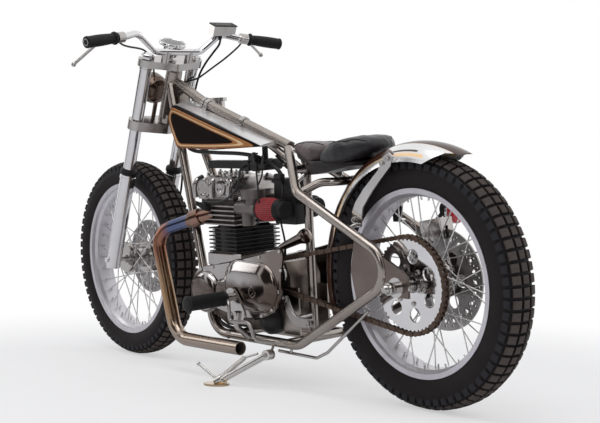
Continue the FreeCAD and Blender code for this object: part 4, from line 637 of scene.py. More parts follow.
def tankFinish():
    graph = newGraph("tankPaint")
    x, y, z = graph.axes(bike)
    corners, inside = tankLook["side"], None
    for (x1, z1), (x2, z2) in zip(corners, corners[1:] + corners[:1]):
        length = hypot(x2 - x1, z2 - z1)
        edge = (x - x1) * ((z1 - z2) / length) + (z - z1) * ((x2 - x1) / length)
        inside = inside.math("SMOOTH_MIN", edge, tankLook["round"]) if inside else edge
    flank = abs(y).step(57, 61) * inside.step(-9, -7)
    border = inside.band(-1.5, -0.5, tankLook["border"] - 0.6, tankLook["border"] + 0.6)
    flake, cloud = graph.noise(900, 2), graph.noise(7, 4)
    colour = flank.mix(cloud.tone(tankLook["silver"], 0.85, 1.12), cloud.mix(tankLook["black"], tankLook["clouded"]))
    colour = (flank * border).mix(colour, (flake * 0.6 + cloud * 0.4).tone(tankLook["copper"], 0.72, 1.3))
    colour = (flank * inside.band(*tankLook["line"])).mix(colour, tankLook["gold"])
    plain = flank * (1 - border)
    return graph.surface(colour, 0.2 + (flake - 0.5) * 0.06 + plain * 0.03, 0.68 - plain * 0.68,
                         (flake + cloud * 2, 0.03), {"Coat Weight": flank * border * 0.3, "Coat Roughness": 0.04,
                                                     "Specular IOR Level": 0.05})


def fenderFinish():
    # Brown crown and front between gold lines, on silver; behind the stays a stripe and a gold band of their own.
    graph = newGraph("fenderPaint")
    x, y, z = graph.axes(bike)
    flake, cloud = graph.noise(700, 2), graph.noise(9, 4)
    height = z - fenderLook["axle"]
    upper = height.angleFrom(x).step(*fenderLook["arc"])
    wide = abs(y) / (0.757 + upper * 0.243) - (1 - upper) * 12

    def within(low, high):
        return wide.band(low - 0.5, low + 0.5, high - 0.5, high + 0.5)

    crown, front = fenderLook["crown"], fenderLook["front"]
    ahead = (x + wide * 1.8).step(*fenderLook["split"])
    behind = 1 - ahead
    outside = reach(height, x).step(*fenderLook["skin"])
    stripe = behind * within(*fenderLook["stripe"]) * x.step(*fenderLook["stripeStart"])
    painted = (ahead * within(-crown, front)).most(behind * within(-crown, crown)).most(stripe) * outside
    band = behind * within(*fenderLook["band"]) * (x + wide * 0.8).step(*fenderLook["bandStart"])
    crownLine = behind * within(crown, fenderLook["crownLine"]) * 0.7
    gold = (ahead * within(front, fenderLook["frontLine"])).most(band).most(crownLine) * outside
    colour = painted.mix(cloud.tone(fenderLook["silver"], 0.82, 1.1), flake.tone(fenderLook["brown"], 0.6, 1.6))
    return graph.surface(gold.mix(colour, fenderLook["gold"]), 0.19 + (flake - 0.5) * 0.08,
                         0.7 - painted * 0.62 - gold * 0.15, (flake + cloud * 2, 0.01), {"Coat Weight": painted * 0.12})


def pipeFinish():
    # Tempered near the head: blue, violet and rust, then straw, and bare steel at the mouth.
    graph = newGraph("temperedPipe")
    x, y, z = graph.axes(bike)
    cloud, grain = graph.noise(14, 4), graph.noise(300, 2)
    wander = (cloud - 0.5) * 22
    first, down = x + wander * 0.35, z + wander
    top = first.step(898, 912).tone(pipeLook["collar"], 1, 0.8)
    for start, end, name in ((923, 926, "blue"), (982, 990, "violet"), (992, 1012, "rust")):
        top = first.step(start, end).mix(top, pipeLook[name])
    lower = down.step(300, 400).mix(pipeLook["straw"], pipeLook["rust"])
    lower = down.step(215, 120).mix(lower, pipeLook["steel"])
    lower = (x.step(960, 900) * z.step(190, 150)).mix(lower, pipeLook["steel"])
    colour = (z + (1043 - x) * 0.6).step(436, 452).mix(lower, top)
    colour = (cloud * 0.5).mix(colour, tuple(part * 1.1 for part in pipeLook["steel"]))
    mouthY, mouthZ = pipeLook["mouth"]
    soot = (1 - reach(abs(y) - mouthY, z - mouthZ).step(*pipeLook["bore"])) * x.step(700, 640)
    return graph.surface(soot.mix(colour, pipeLook["soot"]), 0.2 + (grain - 0.5) * 0.1 + soot * 0.5, 1 - soot,
                         (grain, 0.006))


def headFinish():
    # Machined fin edges and rocker box over a dark, rough core.
    graph = newGraph("finnedHead")
    x, y, z = graph.axes(bike)
    grain, cloud = graph.noise(320, 4), graph.noise(26, 4)
    edge = abs(x - 812).step(84, 92).most(abs(y).step(78, 87))
    bright = z.step(556, 562).most(edge * 0.85)
    colour = bright.mix(cloud.mix((0.02, 0.016, 0.014), (0.10, 0.075, 0.06)),
                        cloud.mix((0.24, 0.21, 0.20), (0.56, 0.53, 0.52)))
    return graph.surface(colour, 0.62 - bright * 0.36 + (grain - 0.5) * 0.2, 0.4 + bright * 0.55, (grain, 0.08))


def caseFinish():
    # Clouded at random between dark and pale, with painted light higher up and painted shade low down.
    graph = newGraph("litAndShadedCase")
    grain, cloud = graph.noise(260, 5), graph.noise(13, 5)
    # painted light and shade: the case is paler higher up and darker low down, over a random cloud
    cloudAndPaintedLight = (cloud + graph.along(bike, 2).step(150, 360) * 0.3).step(0.45, 0.95)
    colour = cloudAndPaintedLight.mix((0.045, 0.032, 0.026), (0.30, 0.25, 0.22))
    return graph.surface(colour, 0.38 + (grain - 0.5) * 0.25, 0.75, (grain + cloud, 0.3))


def discFinish(name, place, rows, low):
    # Small holes are cut through by alpha: three staggered rows near the rim.
    graph = newGraph(name)
    x, z = graph.axes(place, (0, 2))
    out, around = reach(x, z), z.turnsFrom(x)
    grain, cloud = graph.noise(500, 3), graph.noise(18, 3)
    holes, perRow = None, 30
    for row, radius in enumerate(rows):
        phase = (around * perRow + row / len(rows)).fraction() - 0.5
        gap = reach(phase * (tau * radius / perRow), out - radius)
        holes = holes.least(gap) if holes else gap
    scored = abs((out * 0.9).fraction() - 0.5)
    colour = cloud.mix((0.25, 0.235, 0.23), (0.44, 0.425, 0.42))
    return graph.surface(colour, 0.25 + scored * 0.12 + (grain - 0.5) * 0.12, 1.0, (scored + grain, 0.03),
                         {"Alpha": holes.step(3.1, 3.5).most(1 - out.step(low, low + 2))})


def tubeFinish():
    # Brushed tube, warm, with a tarnish in patches; the gusset behind the head is dark.
    graph = newGraph("brushedTube")
    cloud, grain, smear = graph.noise(7, 5), graph.noise(320, 3), graph.noise(60, 4, (0.3, 1, 1))
    x, y, z = graph.axes(bike)
    gusset = abs(y).band(16.5, 18, 23, 24) * x.step(1058, 1064) * z.band(798, 803, 905, 915)
    colour = smear.step(0.58, 0.75).mix(cloud.mix((0.27, 0.23, 0.205), (0.46, 0.42, 0.39)), (0.30, 0.245, 0.21))
    colour = gusset.mix(colour, (0.055, 0.043, 0.038))
    return graph.surface(colour, 0.2 + (grain - 0.5) * 0.1 + smear * 0.06, 1.0, (grain, 0.012))


def stayFinish():
    # Polished outside; the posts and the pan between the stays are black.
    graph = newGraph("stayMetal")
    grain, cloud = graph.noise(260, 3), graph.noise(16, 4)
    bright = abs(graph.along(bike, 1)).step(72, 73.5)
    colour = bright.mix(cloud.mix((0.02, 0.017, 0.016), (0.05, 0.042, 0.04)),
                        cloud.mix((0.52, 0.50, 0.49), (0.74, 0.72, 0.71)))
    return graph.surface(colour, 0.42 - bright * 0.24 + (grain - 0.5) * 0.1, 0.3 + bright * 0.7, (grain, 0.012))


def plateFinish():
    # Warm brown plates; the axle, its spacers and nuts through them are bright.
    graph = newGraph("axlePlateMetal")
    x, z = graph.axes(rearWheel, (0, 2))
    grain, cloud = graph.noise(280, 3), graph.noise(12, 4)
    axle = 1 - reach(x, z).step(26, 28)
    colour = axle.mix(cloud.mix((0.12, 0.095, 0.085), (0.24, 0.20, 0.18)),
                      cloud.mix((0.50, 0.48, 0.47), (0.72, 0.70, 0.69)))
    return graph.surface(colour, 0.24 - axle * 0.08 + (grain - 0.5) * 0.1, 1.0, (grain, 0.012))


def coverFinish():
    # Polished covers: a painted dark reflection darkens a wavy band across the middle, and the rear part is painted
    # darker, also as reflection.
    graph = newGraph("coverAlloy")
    grain, cloud, streak = graph.noise(240, 3), graph.noise(10, 4), graph.noise(40, 4, (1, 1, 3))
    # painted reflection: a wavy dark brown band across the middle of the covers
    paintedReflectionBand = (graph.along(bike, 2) + (cloud - 0.5) * 70).band(228, 262, 296, 330) * (streak * 0.6 + 0.6)
    coverTone = cloud.mix((0.34, 0.32, 0.315), (0.50, 0.48, 0.475))
    # painted reflection: the rear part of the covers is darker brown
    coverTone = (1 - graph.along(bike, 0).step(500, 640)).mix(coverTone, (0.22, 0.185, 0.165))
    return graph.surface(paintedReflectionBand.mix(coverTone, (0.10, 0.074, 0.062)), 0.13 + (grain - 0.5) * 0.08 + paintedReflectionBand * 0.06, 1.0,
                         (grain, 0.012))


def standFinish():
    # Bright leg, and a brass-coloured foot where it stands on the floor.
    graph = newGraph("standMetal")
    grain, cloud = graph.noise(300, 3), graph.noise(20, 4)
    foot = 1 - graph.along(Matrix.Identity(4), 2).step(9, 11)
    colour = foot.mix(cloud.mix((0.55, 0.53, 0.51), (0.76, 0.74, 0.72)),
                      cloud.mix((0.42, 0.30, 0.18), (0.62, 0.49, 0.33)))
    return graph.surface(colour, 0.22 + (grain - 0.5) * 0.2, 1.0, (grain, 0.06))


finish.update({"tankPaint": tankFinish(), "fenderPaint": fenderFinish(), "pipe": pipeFinish(), "head": headFinish(),
               "case": caseFinish(), "tube": tubeFinish(), "stand": standFinish(), "cover": coverFinish(),
               "stay": stayFinish(), "plate": plateFinish(),
               "rearDisc": discFinish("rearDiscSteel", rearWheel, (127, 117, 107), 96),
               "frontDisc": discFinish("frontDiscSteel", frontWheel, (113, 104, 95), 86)})
print("paints and tempered metals made")

# Finishes for the nodes whose CAD shape is right
nodeFinish = {
    "tube": ["frame_spine", "frame_loops", "engine_mounts", "stand_bracket"],
    "plate": ["axle_plates"], "rimSilver": ["rear_rim", "front_rim"],
    "polishedSteel": ["tank_fittings", "brake_pedal", "front_sprocket", "foot_pegs"],
    "polishedAlloy": ["triple_clamps", "levers", "rear_hub", "front_hub", "rear_caliper"],
    "stay": ["fender_stays"], "case": ["crankcase"], "head": ["cylinder_head"], "stand": ["side_stand"],
    "chrome": ["fork_tubes", "fork_sliders", "handlebar", "rear_sprocket"], "lampBronze": ["headlamp"],
    "spokeSteel": ["rear_spokes", "front_spokes"], "rearDisc": ["rear_disc"], "frontDisc": ["front_disc"],
    "blackIron": ["cylinder_barrels", "front_caliper"], "carbGrey": ["carburettors"],
    "blackPlastic": ["electrics_box", "tail_lamp"], "blackRubber": ["clutch_cable"],
    "tankPaint": ["fuel_tank"], "fenderPaint": ["rear_fender"], "pipe": ["exhaust_pipes"],
}
for look, members in nodeFinish.items():
    for member in members:
        cadNodes[member].data.materials.clear()
        cadNodes[member].data.materials.append(finish[look])
print("nodes dressed")

# Engine covers: a flat flange with a round dome in front and a long one behind it
coverLook = {
    "outline": ((902, 277), (893, 312), (868, 338), (835, 350), (790, 356), (700, 372), (560, 400), (462, 424),
                (457, 400), (470, 345), (472, 290), (505, 235), (560, 212), (620, 206), (700, 206), (780, 222),
                (800, 212), (840, 206), (880, 228), (898, 252)),
    "foot": 112.6, "flange": 127, "chamfer": 4,
    "front": ([(828, 272, 66)], ((0, 124), (1, 131), (4, 137), (9, 142), (16, 145.5), (26, 147.6), (40, 148.6),
                                 (58, 149)), 64),
    "rear": ([(655, 306, 76), (560, 303, 76)], ((0, 124), (0.5, 128), (3, 132), (8, 136), (15, 139.5), (23, 143),
                                                (29, 146), (33, 147.4), (36, 148), (50, 148.4), (70, 148.6)), 28),
    "ridge": ([(735, 280, 40), (712, 285, 40)], ((0, 122), (2, 132), (8, 138), (16, 140), (30, 141)), 10),
    "lip": ((470, 116, 412), (560, 118, 393), (700, 118, 366), (790, 118, 350), (840, 118, 343)), "lipRadius": 5,
    "plugs": ((697, 140, 300, 13), (572, 147, 291, 17)), "plug": ((0, 1), (4, 1), (5, 0.9), (3.6, 0.72)),
    "plugNut": (((0, 8), (3, 8), (4, 6.5)), (572, 149, 291), leftward, 6),
    "screw": ((0, 5.4), (3, 5.4), (4, 4.2)), "socket": ((3.9, 2.3), (2.5, 2.2)),
    "screws": ((889, 298), (846, 340), (786, 349), (706, 363), (560, 392), (466, 414), (463, 360), (480, 296),
               (512, 241), (560, 219), (640, 213), (705, 214), (795, 220), (870, 227), (895, 262)),
}


def buildCovers():
    forms = [plate(coverLook["outline"], coverLook["foot"], coverLook["flange"], coverLook["chamfer"])]
    forms += [domed(*coverLook[name]) for name in ("front", "rear", "ridge")]
    forms.append(swept(smoothLine(coverLook["lip"], 6), coverLook["lipRadius"]))
    for *spot, radius in coverLook["plugs"]:
        profile = [(out, radius * share) for out, share in coverLook["plug"]] + [(3.4, 1)]
        forms.append(lathed(profile, spot, leftward, 32))
    forms.append(lathed(*coverLook["plugNut"]))
    screws = []
    for x, z in coverLook["screws"]:
        screws.append(lathed(coverLook["screw"], (x, coverLook["flange"] - 0.5, z), leftward, 18))
        screws.append(lathed(coverLook["socket"], (x, coverLook["flange"] - 0.3, z), leftward, 6))
    makePiece("cover_left", forms, "chassis", "cover", ["engine_covers"], sharp=34)
    makePiece("cover_right", mirrored(forms), "chassis", "cover", sharp=34)
    makePiece("cover_screws", screws + mirrored(screws), "chassis", "polishedSteel")


buildCovers()

# Engine dressing: what stands on the head, under the barrels and behind the covers. The rocker caps are
# (x, z, radius); a wire is its radius and its points, and the paired wires run on both sides.
engineLook = {
    "mouth": ((694, -89, 347), (858, 89, 388)), "rockerTop": 622,
    "domeNuts": ((861, 66), (861, 22), (781, 66), (781, 22)), "domeNut": (8, 11), "dome": ((10, 4), (16, 4), (18, 2.5)),
    "rockerCaps": ((861, 583, 30), (775, 588, 24), (735, 603, 13)), "capFoot": 83,
    "cap": ((0, 1.08), (4, 1.08), (5, 1), (11, 0.94), (12, 0.6), (10.5, 0.52)),
    "capScrews": (24, 94), "capScrew": ((0, 3.4), (2.5, 3.4), (3.2, 2.6)),
    "armAt": (905, 822, 735), "arm": ((0, 60, 618), (0, 86, 606), (3, 90, 580), (3, 88, 556)), "armRadius": 8,
    "plug": ((0, 9), (6, 9.5), (10, 12), (26, 12), (34, 9), (40, 7), (52, 6.5)), "plugAt": (838, 87, 523),
    "baseNuts": ((868, 74, 474), (868, -74, 474), (868, 0, 474), (704, 74, 552), (704, -74, 552)), "baseNut": (7, 8),
    "rearCasting": (((0, 8), (20, 11), (95, 15), (118, 22), (126, 22), (130, 17)), (535, 66, 415), (-0.94, 0, 0.33),
                    32),
    "roundCase": (((0, 40), (30, 44), (48, 42), (58, 34), (64, 20), (66, 2)), (592, 26, 196), leftward, 56),
    "oilLine": ((846, 40, 236), (872, 46, 205), (868, 52, 172), (830, 56, 156), (760, 58, 148)), "oilRadius": 6,
    "fins": ((724, 78), (844, 78), range(361, 462, 12), 1.3), "barrel": (732, 836, 347, 473, 44, 30),
    "wires": (
        (6, ((1074, 24, 800), (1040, 26, 730), (990, 28, 699), (870, 30, 692), (740, 34, 689), (650, 30, 676),
             (575, 26, 640), (556, 20, 600))),
        (4, ((640, -22, 680), (590, -34, 640), (548, -30, 600), (530, -34, 520), (520, -32, 440), (530, -30, 374)))),
    "pairedWires": (
        (3.4, ((698, 52, 654), (676, 92, 640), (668, 108, 596), (722, 114, 556), (800, 108, 546), (840, 104, 546))),
        (2.6, ((652, 40, 690), (622, 84, 690), (597, 92, 640), (592, 92, 560), (604, 84, 505), (634, 70, 476))),
        (2.6, ((640, 30, 684), (604, 62, 668), (600, 68, 630), (622, 66, 600))),
        (3, ((560, 26, 610), (538, 44, 570), (548, 48, 500), (538, 44, 430), (545, 40, 374)))),
    "joiners": ((664, 46, 676), (620, 44, 652), (600, -44, 648), (560, 36, 622)), "joinerHalf": (15, 9, 9),
}


def buildEngine():
    alloy, dark, bright = [box(*engineLook["mouth"], 4)], [], []
    for x, y in engineLook["domeNuts"]:
        for half in (1, -1):
            spot = (x, y * half, engineLook["rockerTop"])
            bright += bolt(spot, upward, *engineLook["domeNut"]) + [lathed(engineLook["dome"], spot, upward, 12)]
    for half in (1, -1):
        for x, z, radius in engineLook["rockerCaps"]:
            profile = [(out, radius * share) for out, share in engineLook["cap"]] + [(10.5, 1)]
            alloy.append(lathed(profile, (x, half * engineLook["capFoot"], z), (0, half, 0), 40))
        x, z, radius = engineLook["rockerCaps"][0]
        circle, face = engineLook["capScrews"]
        for angle in (0, tau / 3, tau * 2 / 3):
            spot = (x + circle * cos(angle), half * face, z + circle * sin(angle))
            bright.append(lathed(engineLook["capScrew"], spot, (0, half, 0), 12))
        # rounded arms from the rocker box down to the head's corners
        for start in engineLook["armAt"]:
            arm = [(start + x, half * y, z) for x, y, z in engineLook["arm"]]
            alloy.append(swept(smoothLine(arm, 6), engineLook["armRadius"]))
        x, y, z = engineLook["plugAt"]
        dark.append(lathed(engineLook["plug"], (x, half * y, z), (0.25, half * 0.9, 0.42), 24))
    for spot in engineLook["baseNuts"]:
        bright += bolt(spot, upward, *engineLook["baseNut"])
    alloy.append(lathed(*engineLook["rearCasting"]))
    dark.append(lathed(*engineLook["roundCase"]))
    for half in (1, -1):
        line = [(x, half * y, z) for x, y, z in engineLook["oilLine"]]
        dark.append(swept(smoothLine(line, 8), engineLook["oilRadius"]))
    makePiece("barrel_fins", finForms(), "chassis", "blackIron")
    makePiece("engine_wires", wireForms(), "chassis", "blackPlastic", sharp=40)
    makePiece("engine_castings", alloy, "chassis", "cover", sharp=40)
    makePiece("engine_dark_parts", dark, "chassis", "blackPlastic", sharp=40)
    makePiece("engine_nuts", bright, "chassis", "polishedSteel")


def finForms():
    # Thinner fins between the barrels' own, and the two barrels inside them.
    (rear, side), (front, side), heights, thick = engineLook["fins"]
    fins = [box((rear, -side, z - thick), (front, side, z + thick), 0.5) for z in heights]
    rear, front, low, high, middle, wide = engineLook["barrel"]
    return fins + [box((rear, half * middle - wide, low), (front, half * middle + wide, high), 12)
                   for half in (1, -1)]


def wireForms():
    # Plug leads, throttle cables and the loom under the tank.
    wires = list(engineLook["wires"])
    for half in (1, -1):
        wires += [(radius, [(x, half * y, z) for x, y, z in line]) for radius, line in engineLook["pairedWires"]]
    size = Vector(engineLook["joinerHalf"])
    return ([swept(smoothLine(line, 10), radius, 10) for radius, line in wires]
            + [box(Vector(spot) - size, Vector(spot) + size, 3) for spot in engineLook["joiners"]])


buildEngine()

# Pod filters: pleated red cotton between black rubber ends
filterLook = {"side": 65, "height": 527, "front": 610, "back": 528, "radius": 34.5, "rings": 8, "pleats": 34,
              "depth": 3.4, "collar": ((-2, 26), (-1, 34), (4, 35), (6, 33.5)),
              "cap": ((-5, 31), (-3, 33), (4, 32.5), (9, 30), (12, 27), (24, 26), (27, 23), (27.5, 1)),
              "red": (0.30, 0.012, 0.016)}


def filterFinish():
    graph = newGraph("filterCotton")
    weave, cloud = graph.noise(900, 3), graph.noise(60, 3)
    return graph.surface(cloud.tone(filterLook["red"], 0.55, 1.5), 0.75 + (weave - 0.5) * 0.2, 0.0, (weave, 0.25),
                         {"Sheen Weight": 0.25})


def buildFilters():
    cotton, rubber = [], []
    front, back, count = filterLook["front"], filterLook["back"], filterLook["pleats"] * 4
    for half in (1, -1):
        y, z = filterLook["side"] * half, filterLook["height"]
        rings = []
        for level in range(filterLook["rings"] + 1):
            share = level / filterLook["rings"]
            radius = (filterLook["radius"] - 3 * share ** 2) * (1 - 0.02 * cos(tau * share))
            ring = []
            for i in range(count):
                fold = abs((i / 4) % 1 - 0.5) * 2
                out = radius - filterLook["depth"] * fold ** 1.5
                angle = tau * i / count
                ring.append(Vector((front + (back - front) * share, y + out * cos(angle), z + out * sin(angle))))
            rings.append(ring)
        cotton.append(ringed(rings))
        rubber.append(lathed(filterLook["collar"], (front + 2, y, z), rearward, 40))
        rubber.append(lathed(filterLook["cap"], (back, y, z), rearward, 40))
    finish["filterCotton"] = filterFinish()
    makePiece("filter_cotton", cotton, "chassis", "filterCotton", ["air_filters"], sharp=60)
    makePiece("filter_rubber", rubber, "chassis", "blackRubber")


buildFilters()

# Grips and footrest rubbers: (distance from the outer end, radius)
gripLook = {"outer": (-47.5, 367, 1135), "inner": (-15.5, 216, 1144), "core": 15.2, "taper": 2.2, "swell": 1.6,
            "ribs": 15, "start": 12, "pitch": 6.4, "rib": ((0, -0.3), (1.4, 0.4), (4.4, 0.4), (5.6, -0.3)),
            "end": ((0, 9), (0.5, 15), (3, 18.5), (7, 19), (10, 17)),
            "collar": ((109, 15), (111, 20), (114, 21), (117, 20), (120, 15.5), (120, 11.5))}
pegLook = {"inner": (661, 183, 271), "ribs": 11, "start": 9, "pitch": 10.8,
           "rib": ((0, 20.6), (1, 21.9), (7, 21.9), (8, 20.6)), "root": ((0, 15), (1, 22), (5, 23.5), (8, 20.6)),
           "end": ((129, 20.6), (131, 24), (136, 24.5), (139, 22), (141, 12))}


def buildGrips():
    ribs = gripLook["ribs"]
    for side, name in ((1, "left"), (-1, "right")):
        outer, inner = (Vector((x, y * side, z)) for x, y, z in (gripLook["outer"], gripLook["inner"]))
        profile = list(gripLook["end"])
        for rib in range(ribs):
            start = gripLook["start"] + rib * gripLook["pitch"]
            core = (gripLook["core"] + gripLook["swell"] * sin(pi * (rib + 0.5) / ribs)
                    + gripLook["taper"] * (1 - rib / ribs))
            profile += [(start + run, core + rise) for run, rise in gripLook["rib"]]
        makePiece("grip_" + name, [lathed(profile + list(gripLook["collar"]), outer, inner - outer, 40)], "steering",
                  "blackRubber", ["grips"] if side > 0 else (), sharp=50)


def buildPegs():
    profile = list(pegLook["root"])
    for ring in range(pegLook["ribs"]):
        profile += [(pegLook["start"] + run + ring * pegLook["pitch"], radius) for run, radius in pegLook["rib"]]
    x, y, z = pegLook["inner"]
    pegs = [lathed(profile + list(pegLook["end"]), (x, side * y, z), (0, side, 0), 36) for side in (1, -1)]
    makePiece("peg_rubbers", pegs, "chassis", "blackRubber", sharp=50)


buildGrips()
buildPegs()
print("engine, filters and grips built")

# Saddle: two leather pads, swelled by a short cloth run. A plan is a hull round circles and its inset; tops and
# bases are heights over X; rounds are the rings' sizes and heights from the base up.
saddleLook = {
    "colours": {"saddleBlack": (0.018, 0.017, 0.020), "saddleMauve": (0.085, 0.060, 0.062)}, "seam": 1.3,
    "rounds": ((0.82, 0), (0.94, 0.08), (0.99, 0.24), (1.0, 0.42), (0.985, 0.62), (0.94, 0.80), (0.84, 0.92),
               (0.64, 0.985), (0.36, 1.0), (0.1, 1.0)),
    "pads": {
        "rear": {"plan": ([(252, 0, 110), (290, -62, 42), (335, 0, 14), (290, 62, 42)], 5),
                 "top": ((136, 712), (146, 731), (161, 739), (203, 740), (253, 732), (283, 719), (307, 706),
                         (335, 690), (350, 682)),
                 "base": ((142, 699), (160, 692), (205, 674), (240, 666), (400, 666)), "look": "saddleBlack",
                 "cap": 9, "fill": 0.75, "seams": ((330, 30), (300, 74), (252, 90), (205, 78), (165, 46))},
        "front": {"plan": ([(372, 40, 42), (372, -40, 42), (490, 0, 30)], 3),
                  "top": ((330, 715), (433, 720), (505, 721), (526, 714)),
                  "base": ((330, 668), (413, 668), (475, 682), (522, 704)), "look": "saddleMauve",
                  "cap": 7, "fill": 0.8, "seams": ((512, 22), (470, 26), (420, 33), (352, 40))}},
    "pan": {"plan": ([(290, 0, 86), (345, -44, 42), (474, 0, 28), (345, 44, 42)], 0),
            "top": ((205, 672), (413, 672), (475, 685), (510, 703)),
            "base": ((205, 658), (413, 658), (475, 671), (510, 692)),
            "rounds": ((0.97, 0), (1, 0.3), (1, 0.7), (0.97, 1), (0.5, 1))},
}
clothLook = {"voxel": 5, "pressure": 4, "frames": 20, "held": 0.012, "folded": 0.02, "quality": 4, "tension": 25,
             "bending": 1.5}


def leather(name, colour):
    graph = newGraph(name)
    pores = graph.node("ShaderNodeTexVoronoi", None, {"Vector": graph.here(), "Scale": 900})
    folds, cloud = graph.noise(22, 5), graph.noise(9, 3)
    worn = cloud.step(0.42, 0.72)
    return graph.surface((folds * 0.5 + worn * 0.5).tone(colour, 0.6, 1.7), 0.36 + worn * 0.12 + (folds - 0.5) * 0.12,
                         0.0, (folds * 2.5 + pores * 0.3, 0.7),
                         {"Coat Weight": 0.12 + worn * 0.1, "Coat Roughness": 0.3, "Specular IOR Level": 0.35})


def heightOver(profile, x):
    for (x1, z1), (x2, z2) in zip(profile, profile[1:]):
        if x1 <= x <= x2:
            return z1 + (z2 - z1) * (x - x1) / (x2 - x1)
    return profile[0][1] if x < profile[0][0] else profile[-1][1]


def padForm(look):
    # Each ring is drawn in towards the middle of the plan.
    circles, inset = look["plan"]
    plan = [Vector((point.x, point.z, 0)) for point in hullRing(circles, inset, 0, 14)]
    middle = sum(plan, Vector()) / len(plan)
    rings = []
    for share, lift in look.get("rounds", saddleLook["rounds"]):
        ring = []
        for point in plan:
            x, y = middle.x + (point.x - middle.x) * share, middle.y + (point.y - middle.y) * share
            low = heightOver(look["base"], x)
            ring.append(Vector((x, y, low + (heightOver(look["top"], x) - low) * lift)))
        rings.append(ring)
    return ringed(rings)


def bakeModifiers(piece):
    evaluated = piece.evaluated_get(bpy.context.evaluated_depsgraph_get())
    mesh = bpy.data.meshes.new_from_object(evaluated)
    piece.modifiers.clear()
    old, piece.data = piece.data, mesh
    bpy.data.meshes.remove(old)


def swell(piece, cap):
    # A short cloth run under pressure; no point moves further than cap.
    remesh = piece.modifiers.new("remesh", "REMESH")
    remesh.mode, remesh.voxel_size = "VOXEL", clothLook["voxel"] * mm
    bakeModifiers(piece)
    start = [vertex.co.copy() for vertex in piece.data.vertices]
    low = min(point.z for point in start)
    held = piece.vertex_groups.new(name="base")
    held.add([i for i, point in enumerate(start) if point.z < low + clothLook["held"]], 1, "REPLACE")
    cloth = piece.modifiers.new("cloth", "CLOTH")
    settings = cloth.settings
    settings.use_pressure, settings.uniform_pressure_force = True, clothLook["pressure"]
    settings.vertex_group_mass = "base"
    settings.effector_weights.gravity = 0
    settings.quality = clothLook["quality"]
    settings.tension_stiffness, settings.bending_stiffness = clothLook["tension"], clothLook["bending"]
    scene = bpy.context.scene
    for step in range(clothLook["frames"]):
        scene.frame_set(step + 1)
    moved = piece.evaluated_get(bpy.context.evaluated_depsgraph_get())
    ends = [vertex.co.copy() for vertex in moved.data.vertices]
    piece.modifiers.remove(cloth)
    scene.frame_set(1)
    for vertex, begin, end in zip(piece.data.vertices, start, ends):
        shift = end - begin
        if shift.length > cap * mm:
            shift *= cap * mm / shift.length
        fold = (noise.noise(begin * 26) * 1.4
                + noise.noise(Vector((begin.x * 14, begin.y * 60, begin.z * 40))) * 1.1)
        vertex.co = begin + shift + vertex.normal * (fold * mm if begin.z > low + clothLook["folded"] else 0)
    piece.data.shade_smooth()
    soft = piece.modifiers.new("soft", "SUBSURF")
    soft.levels = soft.render_levels = 1
    bakeModifiers(piece)


def seamOn(pad, line):
    # Lays a line of (x, y) points on the pad's top; the answer is in the bike's frame.
    down = bike.to_3x3() @ Vector((0, 0, -1))
    made = []
    for point in smoothLine([(x, y, 0) for x, y in line], 10):
        start = pad.matrix_world.inverted() @ bike @ Vector((point.x * mm, point.y * mm, 0.9))
        hit, spot, normal, face = pad.ray_cast(start, down)
        if hit:
            made.append(bike.inverted() @ (pad.matrix_world @ spot) / mm + Vector((0, 0, 0.4)))
    return made


def buildSaddle():
    for name, colour in saddleLook["colours"].items():
        finish[name] = leather(name, colour)
    pads = {}
    for name, look in saddleLook["pads"].items():
        pad = makeShell(f"saddle_{name}_pad", [padForm(look)], "chassis", look["look"], 180)
        swell(pad, look["cap"])
        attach(pad, "chassis")
        pads[name] = pad
    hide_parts("saddle")
    piping = []
    for name in ("front", "rear"):
        for side in (1, -1):
            seam = seamOn(pads[name], [(x, side * y) for x, y in saddleLook["pads"][name]["seams"]])
            if len(seam) > 3:
                piping.append(swept(seam, saddleLook["seam"], 8))
    makePiece("saddle_seams", piping, "chassis", "blackRubber")
    makePiece("saddle_pan", [padForm(saddleLook["pan"])], "chassis", "blackIron")


buildSaddle()
print("saddle built")

# Gear lever with its bent crank, given as (x, z, half width), and the gauge
gearLook = {"lever": ((655, 178, 271), (622, 200, 262), (620, 200, 207), (529, 200, 213), (505, 200, 162),
                      (480, 150, 150)), "corner": 16, "rod": 5.6,
            "crank": ((489, 271, 10), (479, 247, 10.5), (461, 222, 12.5), (432, 208, 14.5), (387, 209, 13)),
            "inner": 88, "outer": 97, "shaft": ((474, 0, 215), (-20, 88, 0), 6, 90)}
gaugeLook = {"centre": (38, 0), "seat": 1101, "radius": 45, "ticks": 40, "tickBand": (29, 30, 35, 36),
             "cup": (((1056, 13), (1062, 14), (1064, 24), (1070, 26), (1101, 26)), (42, 0, 0), upward, 48),
             "bezel": ((0, 5), (1, 1), (3, 0), (9, 0), (11, 1.5), (11.4, 4), (9.5, 5.5), (9, 6)),
             "tickColour": (0.75, 0.74, 0.70)}


